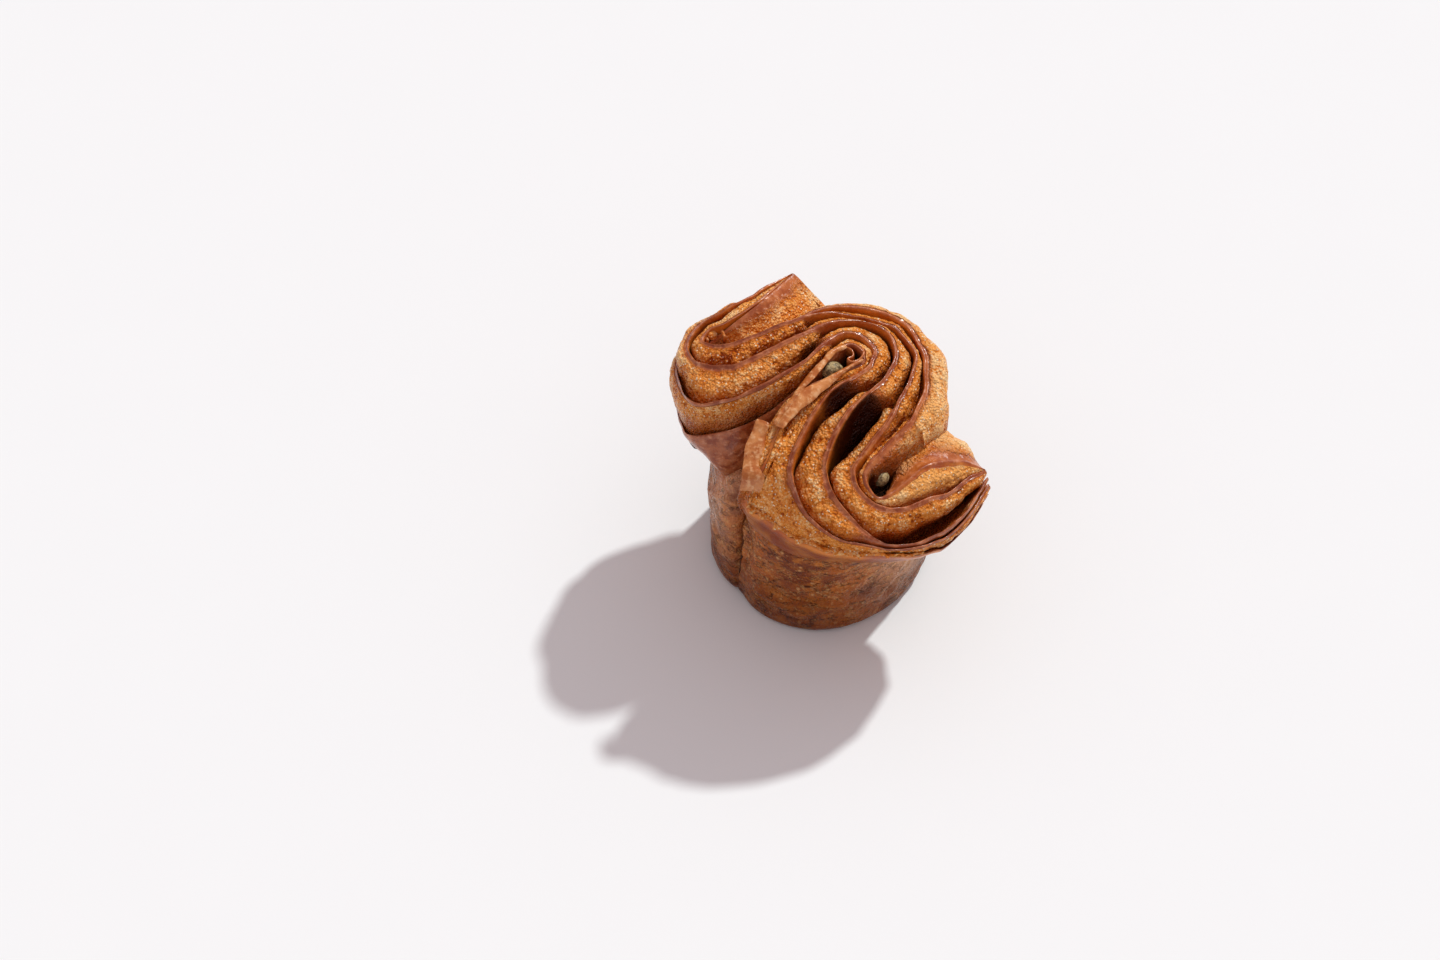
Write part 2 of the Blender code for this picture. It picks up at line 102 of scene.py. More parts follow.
# gaps of another width or depth than the usual: leaf pair, station (None is all), share of crumb, depth
OPEN_GAPS = [(0, None, .8, 4.0), (0, 0, .9, .4), (0, 1, .9, .5), (0, 2, .9, 2.0), (1, 18, .30, 26.0)]
OPEN_GAPS += [(1, 17, .9, 9.0), (2, 18, .82, 13.0), (2, 17, .9, 9.0), (1, 19, .70, 15.0), (2, 19, .94, 11.0)]
OPEN_GAPS += [(3, 17, .95, 2.0), (3, 18, .95, 2.5), (3, 19, .95, 3.0), (3, 20, 1.0, 2.0)]
OPEN_GAPS += [(3, station, 1.03, 1.5) for station in range(21, 27)]
OPEN_GAPS += [(1, 26, .56, 13.0), (1, 27, .46, 14.0), (1, 28, .42, 14.0), (1, 29, .42, 14.0)]
OPEN_GAPS += [(1, 30, .42, 11.0), (1, 0, .98, .6), (1, 1, .98, 1.0), (1, 2, .96, 3.0)]
OPEN_GAPS += [(pair, station, 1.0, 12.0) for pair in (1, 2) for station in range(20, 25)]
# where the crumb swells out sideways: leaf pair, station, how far
PUFFS = [(3, 4, 2.2), (3, 5, 1.4), (3, 3, 1.6), (2, 4, 1.2), (2, 3, 1.4), (2, 2, 1.0)]
# how far each of the two walls follows the round body lower down, station by station
SKIRTS = [(0, 0)] * 4 + [(0, .6), (0, 1), (0, 1), (0, 1), (0, .8), (0, .3)] + [(0, 0)] * 2
SKIRTS += [(.3, 0), (.8, 0), (1, 0), (1, 0), (.7, 0), (0, 0), (0, 0), (0, 0)]
SKIRTS += [(0, .3), (0, .9), (0, .9), (0, .6), (0, .3)] + [(0, 0)] * 7
# the body's upright creases: bearing, depth, half width in degrees
CREASES = [(221, 3.0, 7.5), (218.3, 2.2, 1.1), (86, 3.2, 9.0), (4, 3.2, 9.0)]
# crumbs of filling: centre, radius
BITS = [((1.6, 1.9, 79.2), 3.0), ((14.6, -23.2, 63.5), 2.8)]
# how crumbed the wall past the first leaf is at each station: 1 all crumb, 0 all smooth skin
WALL_CRUMB = [1, 1, 1, .8, .5, .4, .4, .4, .5, .6, .7, .7, .7, .7, .8, .9, 1, 1, 1, .7, .3] + [.2] * 5
WALL_CRUMB += [.3, .8, 1, 1, 1, .9]
# how crumbed the last leaf's lip is: 1 where it is a torn fringe of crumb
LAST_LIP_CRUMB = [0] * 19 + [.7, 1, 1, 1, 1, 1, 1, 1, .6, 0, 0, 0, 0]
# painted shade on the walls past the first and the last leaf, below their lips: how dark it is
A_PAINTED_SHADE = [0, .1, .3, .45, .5, .5, .5, .4, .3] + [0] * 9 + [0, .7, .9, .9, .9, .9, 1, 1, 1, .8, .2, 0, 0, 0]
B_PAINTED_SHADE = [0] * 10 + [.2, .8, 1, 1, 1, 1, 1, .9, .3, 0, .3, .6, .6, .6, .6, .6, .6] + [.4] * 5
# gaps with painted shade, smooth gaps, gaps lit to the bottom (their painted shade taken off), gaps smooth at
# the rim: leaf pair, station, amount
GAP_PAINTED_SHADE = [(1, 17, .1), (1, 18, 1), (1, 19, .85), (2, 17, .1), (2, 18, .9), (2, 19, .5),
            (2, 9, .5), (2, 10, .8), (1, 10, .3)]
GAP_SKIN = [(0, 0, 1), (0, 1, 1), (0, 2, .6), (3, 10, .3)]
GAP_LIT = [(1, 26, .2)] + [(1, station, .54) for station in range(27, 31)]
GAP_RIM = [(2, 24, .1), (2, 25, .6)] + [(2, station, 1) for station in range(26, 31)]
# how bare the lip of the wall past the first leaf is, and how pale the crumb is there (partly its own paler
# crumb, partly painted light on sunlit parts)
A_BARE = [.3, .3, .3] + [0] * 12 + [0, 0, .1, .5, .8, .4] + [0] * 5 + [.7, 1, 1, 1, 1, .6]
A_PALE = [.5, .5, .4, .4, .4, .4, .3, .3, .3, .3, .4, .5, .6, .7, .7, .8, .8, .8, .7] + [.2] * 6
A_PALE += [.3, .5, .9, 1, 1, 1, 1]
# how pale the crumb of a gap is, partly its own paler crumb and partly painted light on sunlit bulges: leaf
# pair, station, amount
GAP_PALE = [(1, 0, .8), (1, 1, .8), (1, 2, .6), (0, 26, .8), (0, 27, .9)]
GAP_PALE += [(0, station, 1.2) for station in range(28, 32)]
GAP_PALE += [(pair, station, .7) for pair in (2, 3) for station in (3, 4)]
GAP_PALE += [(pair, station, .22) for pair in (1, 2) for station in range(20, 25)]
GAP_PALE += [(3, station, .1) for station in range(20, 27)] + [(3, station, .5) for station in (6, 7, 8)]
# below zero: painted shade on a bulge that lies in shade
GAP_PALE += [(1, station, -.4) for station in range(6, 11)]
# how mauve the skin of the wall past the last leaf is
B_BAND = [1] * 9 + [.6] * 8 + [.3] * 3 + [0] * 12
# how warm brown that wall is; where it is neither, it is tan
B_WARM = [0] * 19 + [.6] + [1] * 9 + [.5] * 3
# how crumbed that wall is
B_CRUMB = [.08] * 19 + [.7, .9, .3] + [.08] * 10
# where the underside of the first leaf shows as an amber strip
AMBER = [(0, 27, .7), (0, 28, 1), (0, 29, 1), (0, 30, .8), (2, 28, .4), (2, 29, .6), (2, 30, .6)]


# ---------------------------------------------------------------- noise
def _hash(ix, iy, iz, seed):
    h = (ix.astype(np.int64) * 374761393 + iy.astype(np.int64) * 668265263
         + iz.astype(np.int64) * 1274126177 + seed * 144665) & 0xFFFFFFFF
    h = ((h ^ (h >> 13)) * 1103515245) & 0xFFFFFFFF
    h = ((h ^ (h >> 16)) * 69069) & 0xFFFFFFFF
    return ((h ^ (h >> 15)) & 0xFFFFFF) / float(0x1000000)


def waves(p, size, seed):
    """Smooth lattice noise from -1 to 1 at points p (N, 3) in mm."""
    q = p / size
    i = np.floor(q)
    f = q - i
    f = f * f * (3 - 2 * f)
    out = 0.0
    for a in (0, 1):
        for b in (0, 1):
            for c in (0, 1):
                near = [f[:, axis] if far else 1 - f[:, axis] for axis, far in enumerate((a, b, c))]
                w = near[0] * near[1] * near[2]
                out = out + w * _hash(i[:, 0] + a, i[:, 1] + b, i[:, 2] + c, seed)
    return 2 * out - 1


def blisters(p, size, seed):
    """Round bumps, 1 at a blister's top and 0 between blisters."""
    q = p / size
    i = np.floor(q)
    best = np.full(len(p), 9.0)
    for a in (-1, 0, 1):
        for b in (-1, 0, 1):
            for c in (-1, 0, 1):
                x, y, z = i[:, 0] + a, i[:, 1] + b, i[:, 2] + c
                d = ((x + _hash(x, y, z, seed) - q[:, 0]) ** 2 + (y + _hash(x, y, z, seed + 1) - q[:, 1]) ** 2
                     + (z + _hash(x, y, z, seed + 2) - q[:, 2]) ** 2)
                best = np.minimum(best, d)
    return np.clip(1 - best, 0, 1)


# ---------------------------------------------------------------- shape helpers shared with the CAD
def smooth(t):
    """From 0 at 0 to 1 at 1, level at both ends."""
    t = np.clip(t, 0.0, 1.0)
    return t * t * (3.0 - 2.0 * t)


def waist(z):
    """How much the crown is drawn in at height z."""
    return WAIST + (1.0 - WAIST) * smooth((z - WAIST_Z[0]) / (WAIST_Z[1] - WAIST_Z[0]))


def dome(x, y):
    """Height of the crown's top over x, y."""
    return DOME_TOP - DOME_FALL * ((x - DOME_CENTRE[0]) ** 2 + (y - DOME_CENTRE[1]) ** 2)


def course(rows, steps):
    """A smooth curve through the rows, with steps[k] points from row k to row k + 1."""
    p = np.asarray(rows, float)
    q = np.vstack([2 * p[0] - p[1], p, 2 * p[-1] - p[-2]])
    out = []
    for k, n in enumerate(steps):
        p0, p1, p2, p3 = q[k:k + 4]
        d = [max(float(np.linalg.norm(b[:3] - a[:3])), 1e-3) ** .5 for a, b in ((p0, p1), (p1, p2), (p2, p3))]
        m1 = d[1] * ((p1 - p0) / d[0] - (p2 - p0) / (d[0] + d[1]) + (p2 - p1) / d[1])
        m2 = d[1] * ((p2 - p1) / d[1] - (p3 - p1) / (d[1] + d[2]) + (p3 - p2) / d[2])
        for f in np.arange(n) / n:
            out.append((2 * f**3 - 3 * f**2 + 1) * p1 + (f**3 - 2 * f**2 + f) * m1
                       + (3 * f**2 - 2 * f**3) * p2 + (f**3 - f**2) * m2)
    return np.array(out + [p[-1]])


def lip_rows(leaf):
    """Where a leaf's lip is at each station, before the crown is drawn in."""
    rows = []
    for pivot, bearing, reach, drop, *_ in STATIONS:
        x = pivot[0] + reach[leaf] * cos(radians(bearing))
        y = pivot[1] + reach[leaf] * sin(radians(bearing))
        z = dome(x, y) - drop[leaf]
        rows.append((x / waist(z), y / waist(z), z))
    return np.array(rows)


def steps_between(rows_of_leaves):
    """How many sections lie between each two stations."""
    mean = sum(np.linalg.norm(np.diff(r, axis=0), axis=1) for r in rows_of_leaves) / len(rows_of_leaves)
    return [max(1, int(round(d / STEP))) for d in mean]


def along(values, steps):
    """One value for each section, led smoothly from station to station."""
    v = np.asarray(values, float)
    out = []
    for k, n in enumerate(steps):
        for f in np.arange(n) / n:
            out.append(v[k] + (v[k + 1] - v[k]) * smooth(f))
    return np.array(out + [v[-1]])


def crumb_then_collar(g, fill, deep, za, zb, puff):
    """Points from lip to lip: a swollen bulge, the crevice's bottom and the next leaf's inner face."""
    lip = np.minimum(LIP, .2 * g)
    w = fill * np.maximum(g - 2.2 * lip - .35, .1 * g)
    extra = np.maximum(za - zb, 0.0)
    bottom = np.minimum(za - deep - extra, zb - .5 * deep)
    fall = za - bottom
    bulge = ((0, 0), (.28, .55), (.66, 1), (.93, .95), (1, 0))
    lateral = [lip + share * w + more * puff for share, more in bulge]
    lateral += [.5 * (w + g), g - 1.2 * lip, g - lip]
    swell = [(.35, .02, .03), (.40, .06, .08), (.50, .15, .20), (.70, .36, .45)]
    height = [za - np.minimum(base + wide * g + far * extra, .7 * fall) for base, wide, far in swell]
    height += [za - .80 * fall, bottom, zb - .55 * (zb - bottom), zb - .08 * (zb - bottom)]
    return lateral, height


def outer_wall(w, slope, z):
    """How far out and how high each point is of a wall that falls from a lip at height z, w wide."""
    o = [.25 + .06 * w, .30 * w + .3, .68 * w + .3, .94 * w + .3, w + .3, .9 * w]
    u = [.5, .8 + .3 * slope * w, 1.9 + .68 * slope * w, 5.0 + .94 * slope * w, 11.0 + slope * w]
    h = [np.maximum(z - v, CROWN_FLOOR + 6.0 - k) for k, v in enumerate(u)] + [np.full_like(z, CROWN_FLOOR)]
    return o, h


def bell(bearing, at, half):
    """1 at the bearing at, falling off over half degrees to both sides."""
    away = (bearing - at + 180.0) % 360.0 - 180.0
    return np.exp(-(away / half) ** 2)


def body_radius(bearing, z):
    """The round body's radius: it is creased, flares under the crown's front and bellies out a little."""
    crease = 0.0
    for at, depth, half in CREASES:
        crease = crease + depth * (.4 + 1.5 * smooth((z - 6.0) / 42.0)) * bell(bearing, at, half)
    front, right = .21 * bell(bearing, 286.0, 48.0), .04 * bell(bearing, 340.0, 45.0)
    flare = 1.0 + (front + right) * smooth((z - 26.0) / 22.0)
    return (BODY_RADIUS + BELLY * bell(bearing, 262.0, 32.0) - crease) * flare


def wrap(grid, cols, share, top):
    """Lead the lower part of a crown wall onto the round body's surface."""
    part = grid[:, cols]
    r = np.maximum(np.linalg.norm(part[:, :, :2], axis=2), 1.0)
    bearing = np.degrees(np.arctan2(part[:, :, 1], part[:, :, 0]))
    aim = body_radius(bearing, part[:, :, 2]) + .35 - 6.0 * smooth((42.0 - part[:, :, 2]) / 8.0)
    t = share[:, None] * smooth((top[:, None] - part[:, :, 2]) / np.maximum(top[:, None] - WRAP_Z, 1.0))
    part[:, :, :2] *= (1.0 + t * (aim / r - 1.0))[:, :, None]


def crumb_on_both(g, deep, share, za, zb):
    """Points from one lip to the next where both leaves are swollen and a black slit opens between them."""
    lip, w = np.minimum(LIP, .2 * g), share * g
    bottom = np.minimum(za, zb) - deep
    lateral = [lip, lip + .35 * w, lip + w, .44 * g, .56 * g, g - lip - w, g - lip - .35 * w, g - lip]
    height = [za - .3, za - .35 - .10 * w, za - .8 - .55 * w, bottom, bottom,
              zb - .8 - .55 * w, zb - .35 - .10 * w, zb - .3]
    return lateral, height


# what each point of a gap's section is: crumb, mauve band at the lip, warm inner face, deep (painted shade,
# darkest at the crevice's bottom)
GAP_MARKS = [(.02, 1, 0, 0), (.95, .15, 0, .03), (1, 0, 0, .06), (1, 0, 0, .28), (1, 0, .2, .75),
             (.7, 0, .7, 1), (.10, 0, 1, .8), (.05, .25, .7, .22)]
# in a slit between two swollen leaves the deep mark paints shade, black in its middle
BOTH_MARKS = [(.02, 1, 0, 0), (.92, .20, 0, .03), (1, 0, 0, .25), (.8, 0, .6, 1)]
BOTH_MARKS += BOTH_MARKS[::-1]


LEAVES, WALL_POINTS, USUAL_PALE = 5, 6, .18
WALL_MARKS = [(.2, .8, 0), (.9, .15, 0), (1, 0, 0), (1, 0, 0), (1, 0, .3), (1, 0, .8)]    # crumb, band, deep (painted shade, more lower down the wall)
WALL_BARE = [(1, 1), (.40, .85), (0, .25), (0, 0), (0, 0), (0, 0)]    # on a wide wall, on a narrow one
AMBER_MARKS, FRINGE_MARKS = (0, 0, 1, 0), (1, 0, 0, .05)


def ribbon_columns():
    """The ribbon's sections point by point, what each point is made of, and the section at each station."""
    rows = [lip_rows(i) for i in range(LEAVES)]
    steps = steps_between(rows)
    lips = [course(r, steps) for r in rows]
    n = len(lips[0])
    for i, lip in enumerate(lips):      # real lips waver
        ends = smooth(np.minimum(np.arange(n), np.arange(n)[::-1]) * STEP / 12.0)
        lip[:, 2] += ends * (.45 * waves(lip, 7.0, 11 + i) + .22 * waves(lip, 2.4, 31 + i))
        for axis in (0, 1):
            lip[:, axis] += ends * .30 * waves(lip, 5.0, 51 + 7 * i + axis)
    side = along([s[6] for s in STATIONS], steps)
    upper, fringe = np.clip(2 * side - 1, 0, 1), along(LAST_LIP_CRUMB, steps)
    cols = []                           # points (n, 3), then crumb, band, inner, deep and pale

    def col(points, *marks):
        cols.append([points] + [mark * np.ones(n) for mark in marks])

    def unit(a, b):
        d = b[:, :2] - a[:, :2]
        return d / np.maximum(np.linalg.norm(d, axis=1), 1e-6)[:, None]

    def wall(origin, direction, w, slope, crumbed, flip):
        lateral, height = outer_wall(w, slope, origin[:, 2])
        bare = along(A_BARE, steps) if flip else np.zeros(n)
        bare = [bare * np.where(w > 8, wide, narrow) for wide, narrow in WALL_BARE]
        # painted shade down the wall below its lip
        painted_shade = along(A_PAINTED_SHADE if flip else B_PAINTED_SHADE, steps)
        pale = along(A_PALE, steps) if flip else .3
        mauve = 0.0 if flip else along(B_BAND, steps)
        warm = .25 if flip else along(B_WARM, steps)
        points = []
        for k, (out, high, (crumb, band, deep)) in enumerate(zip(lateral, height, WALL_MARKS)):
            place = np.column_stack([origin[:, :2] + direction * out[:, None], high])
            bands = np.maximum(np.maximum(band, bare[k]), mauve)
            depth = np.maximum(deep, painted_shade * min(1, .1 + .3 * k))
            points.append((place, crumb * crumbed * (1 - bare[k]), bands, warm, depth, pale))
        for point in (reversed(points) if flip else points):
            col(*point)

    wa, sa = along([s[4][0] for s in STATIONS], steps), along([s[4][1] for s in STATIONS], steps)
    wb, sb = along([s[5][0] for s in STATIONS], steps), along([s[5][1] for s in STATIONS], steps)
    wall(lips[0], unit(lips[1], lips[0]), wa, sa, along(WALL_CRUMB, steps), True)
    for i in range(LEAVES - 1):
        a, b = lips[i], lips[i + 1]
        g = np.linalg.norm(b[:, :2] - a[:, :2], axis=1)
        fill, deep = np.full(len(STATIONS), .9), np.full(len(STATIONS), CREVICE)
        puff = np.zeros(len(STATIONS))
        for pair, station, size in PUFFS:
            if pair == i:
                puff[station] = size
        for pair, station, share, depth in OPEN_GAPS:
            if pair == i:
                fill[slice(None) if station is None else station] = share
                deep[slice(None) if station is None else station] = depth
        looks = []
        for table in (GAP_PAINTED_SHADE, GAP_SKIN, GAP_LIT, GAP_RIM, GAP_PALE, AMBER):
            looks.append(np.full(len(STATIONS), USUAL_PALE if table is GAP_PALE else 0.0))
            for pair, station, amount in table:
                if pair == i:
                    looks[-1][station] = amount
        painted_shade, skin, lit, rim, pale, amber = [along(v, steps) for v in looks]
        fill, deep, puff = along(fill, steps), along(deep, steps), along(puff, steps)
        deep = np.minimum(deep, 3.0 + 2.2 * g)
        # shallow gaps get less painted shade
        shallow = np.clip(deep / 9.0, .1, 1)
        col(a, 0.0, 1.0, 0.0, 0.0, pale)
        e = unit(a, b)
        lat, hgt = crumb_then_collar(g, fill, deep, a[:, 2], b[:, 2], puff)
        lat2, hgt2 = crumb_then_collar(g, fill, deep, b[:, 2], a[:, 2], puff)
        lat3, hgt3 = crumb_on_both(g, deep, .33 * np.ones(n), a[:, 2], b[:, 2])
        share = [np.clip(1 - 2 * side, 0, 1), upper, 1 - np.abs(2 * side - 1)]
        for k in range(len(lat)):
            on_a = np.column_stack([a[:, :2] + e * lat[k][:, None], hgt[k]])
            on_b = np.column_stack([b[:, :2] - e * lat2[-1 - k][:, None], hgt2[-1 - k]])
            on_both = np.column_stack([a[:, :2] + e * lat3[k][:, None], hgt3[k]])
            mix = [share[0] * u + share[1] * v + share[2] * w
                   for u, v, w in zip(GAP_MARKS[k], GAP_MARKS[-1 - k], BOTH_MARKS[k])]
            under = max(0, min(1, .5 * k - .7)) * (1 - upper) + max(0, min(1, .5 * (7 - k) - .2)) * upper
            # painted shade: the crevice's deep mark, and the painted shade of dark gaps on the lower points;
            # none where a gap is lit
            mix[3] = np.maximum(mix[3] * shallow * (1 - .9 * skin), painted_shade * under) * (1 - lit)
            mix[0] = np.maximum(mix[0], .9 * lit * (k > 1)) * (1 - skin) * (1 - rim)
            mix[1] = np.maximum(mix[1], rim * (k < 5))
            mix[2] = np.maximum(mix[2] * (1 - lit), .6 * rim * (k >= 5))
            if k == 0:
                mix = [m * (1 - amber) + v * amber for m, v in zip(mix, AMBER_MARKS)]
            if i == LEAVES - 2 and k > 0:       # the crumb runs on to a torn fringe
                mix = [m * (1 - fringe) + v * fringe for m, v in zip(mix, FRINGE_MARKS)]
            col(sum(w[:, None] * p for w, p in zip(share, (on_a, on_b, on_both))), *mix, pale)
    col(lips[-1], fringe, 1 - fringe, 0.0, 0.0, pale)
    wall(lips[-1], unit(lips[-2], lips[-1]), wb, sb, along(B_CRUMB, steps), False)
    grid = np.stack([c[0] for c in cols], axis=1)
    marks = np.stack([np.stack(c[1:], axis=1) for c in cols], axis=1)
    grid[:, :, :2] *= waist(grid[:, :, 2])[:, :, None]
    grid[:, [0, -1], :2] *= .9
    wrap(grid, slice(0, WALL_POINTS), along([a for a, _ in SKIRTS], steps), lips[0][:, 2])
    wrap(grid, slice(-WALL_POINTS, None), along([b for _, b in SKIRTS], steps), lips[-1][:, 2])
    rows = np.concatenate([[0], np.cumsum(steps)])
    return grid, marks, rows


def refine(grid, marks, counts):
    """Smooth each section through its points, with counts[k] steps from point k to point k + 1."""
    g = np.concatenate([2 * grid[:, :1] - grid[:, 1:2], grid, 2 * grid[:, -1:] - grid[:, -2:-1]], axis=1)
    out, att = [], []
    for k, c in enumerate(counts):
        p0, p1, p2, p3 = g[:, k], g[:, k + 1], g[:, k + 2], g[:, k + 3]
        spans = (p1 - p0, p2 - p1, p3 - p2)
        d = [np.maximum(np.linalg.norm(span, axis=1), 1e-3)[:, None] ** .5 for span in spans]
        m1 = d[1] * ((p1 - p0) / d[0] - (p2 - p0) / (d[0] + d[1]) + (p2 - p1) / d[1])
        m2 = d[1] * ((p2 - p1) / d[1] - (p3 - p1) / (d[1] + d[2]) + (p3 - p2) / d[2])
        for f in np.arange(c) / c:
            out.append((2 * f**3 - 3 * f**2 + 1) * p1 + (f**3 - 2 * f**2 + f) * m1
                       + (3 * f**2 - 2 * f**3) * p2 + (f**3 - f**2) * m2)
            att.append(marks[:, k] * (1 - f) + marks[:, k + 1] * f)
    out.append(grid[:, -1])
    att.append(marks[:, -1])
    return np.stack(out, axis=1), np.stack(att, axis=1)


def grid_normals(g, wrap_rows=False):
    """Unit normals of a grid of points; wrap_rows where the last row meets the first."""
    if wrap_rows:
        ds = np.roll(g, -1, axis=0) - np.roll(g, 1, axis=0)
    else:
        ds = np.gradient(g, axis=0)
    dk = np.gradient(g, axis=1)
    nrm = np.cross(ds, dk)
    return nrm / np.maximum(np.linalg.norm(nrm, axis=2), 1e-9)[:, :, None]


# deep is painted shade in crevices, slits and the crease; pale is partly paler crumb and skin, partly painted
# light
MARKS = ("crumb", "band", "inner", "deep", "pale", "relief")


def grid_object(name, g, marks, material, close_rows=False, ngon_ends=False, flip=False):
    """A mesh over a grid of points, with its marks as attributes, riding on the frame's root."""
    n, m, _ = g.shape
    rows = np.arange(n if close_rows else n - 1)
    j, k = np.meshgrid(rows, np.arange(m - 1), indexing="ij")
    j2 = (j + 1) % n
    quads = np.stack([j * m + k, j2 * m + k, j2 * m + k + 1, j * m + k + 1], axis=-1).reshape(-1, 4)
    if flip:
        quads = quads[:, ::-1]
    mesh = bpy.data.meshes.new(name)
    ends = []
    if ngon_ends:
        ends = [list(range(m)), list(range(n * m - 1, (n - 1) * m - 1, -1))]
        if flip:
            ends = [e[::-1] for e in ends]
    loops = np.concatenate([quads.ravel()] + [np.array(e) for e in ends]).astype(np.int32)
    totals = np.array([4] * len(quads) + [len(e) for e in ends], np.int32)
    starts = np.concatenate([[0], np.cumsum(totals)[:-1]]).astype(np.int32)
    mesh.vertices.add(n * m)
    mesh.vertices.foreach_set("co", (g.reshape(-1, 3) * MM).ravel().astype(np.float32))
    mesh.loops.add(len(loops))
    mesh.loops.foreach_set("vertex_index", loops)
    mesh.polygons.add(len(totals))
    mesh.polygons.foreach_set("loop_start", starts)
    mesh.polygons.foreach_set("loop_total", totals)
    mesh.update(calc_edges=True)
    mesh.polygons.foreach_set("use_smooth", np.ones(len(totals), bool))
    for a, label in enumerate(MARKS):
        attribute = mesh.attributes.new(label, "FLOAT", "POINT")
        attribute.data.foreach_set("value", marks[:, :, a].ravel().astype(np.float32))
    mesh.validate()
    obj = bpy.data.objects.new(name, mesh)
    bpy.context.scene.collection.objects.link(obj)
    mesh.materials.append(material)
    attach(obj, "root")
    return obj


# ---------------------------------------------------------------- materials
class Nodes:
    """Small helper: makes nodes and links by name."""

    def __init__(self, name):
        self.mat = bpy.data.materials.new(name)
        self.mat.use_nodes = True
        self.tree = self.mat.node_tree
        self.bsdf = self.tree.nodes["Principled BSDF"]
        self.coord = self.tree.nodes.new("ShaderNodeTexCoord").outputs["Object"]

    def put(self, value, socket):
        if hasattr(value, "is_linked"):
            self.tree.links.new(value, socket)
        else:
            socket.default_value = value

    def mark(self, label):
        """One of the marks that the meshes carry."""
        node = self.tree.nodes.new("ShaderNodeAttribute")
        node.attribute_name = label
        return node.outputs["Fac"]

    def noise(self, size, detail=3.0, rough=.55, stretch=None):
        node = self.tree.nodes.new("ShaderNodeTexNoise")
        self.put(self.stretch(stretch) if stretch else self.coord, node.inputs["Vector"])
        node.inputs["Scale"].default_value = 1.0 / (size * MM)
        node.inputs["Detail"].default_value = detail
        node.inputs["Roughness"].default_value = rough
        return node.outputs["Fac"]

    def cells(self, size):
        node = self.tree.nodes.new("ShaderNodeTexVoronoi")
        self.put(self.coord, node.inputs["Vector"])
        node.inputs["Scale"].default_value = 1.0 / (size * MM)
        return node.outputs["Distance"]

    def stretch(self, scale):
        node = self.tree.nodes.new("ShaderNodeMapping")
        self.put(self.coord, node.inputs["Vector"])
        node.inputs["Scale"].default_value = scale
        return node.outputs["Vector"]

    def math(self, op, a, b=0.0, c=0.0, clamp=False):
        node = self.tree.nodes.new("ShaderNodeMath")
        node.operation, node.use_clamp = op, clamp
        self.put(a, node.inputs[0])
        self.put(b, node.inputs[1])
        if op == "MULTIPLY_ADD":
            self.put(c, node.inputs[2])
        return node.outputs[0]

    def step(self, value, low, high, to_low=0.0, to_high=1.0):
        """A smooth step from to_low at low to to_high at high."""
        node = self.tree.nodes.new("ShaderNodeMapRange")
        node.interpolation_type = "SMOOTHSTEP"
        self.put(value, node.inputs["Value"])
        for key, v in (("From Min", low), ("From Max", high), ("To Min", to_low), ("To Max", to_high)):
            node.inputs[key].default_value = v
        return node.outputs["Result"]

    def mix(self, fac, a, b):
        node = self.tree.nodes.new("ShaderNodeMix")
        node.data_type = "RGBA"
        self.put(fac, node.inputs[0])
        self.put(a if hasattr(a, "is_linked") else (*a, 1.0), node.inputs[6])
        self.put(b if hasattr(b, "is_linked") else (*b, 1.0), node.inputs[7])
        return node.outputs[2]

    def bump(self, height, distance):
        node = self.tree.nodes.new("ShaderNodeBump")
        self.put(height, node.inputs["Height"])
        node.inputs["Distance"].default_value = distance * MM
        node.inputs["Strength"].default_value = 1.0
        self.tree.links.new(node.outputs["Normal"], self.bsdf.inputs["Normal"])

    def finish(self, color, rough, **fixed):
        self.put(color, self.bsdf.inputs["Base Color"])
        self.put(rough, self.bsdf.inputs["Roughness"])
        for key, v in fixed.items():
            self.bsdf.inputs[key.replace("_", " ")].default_value = v
        return self.mat


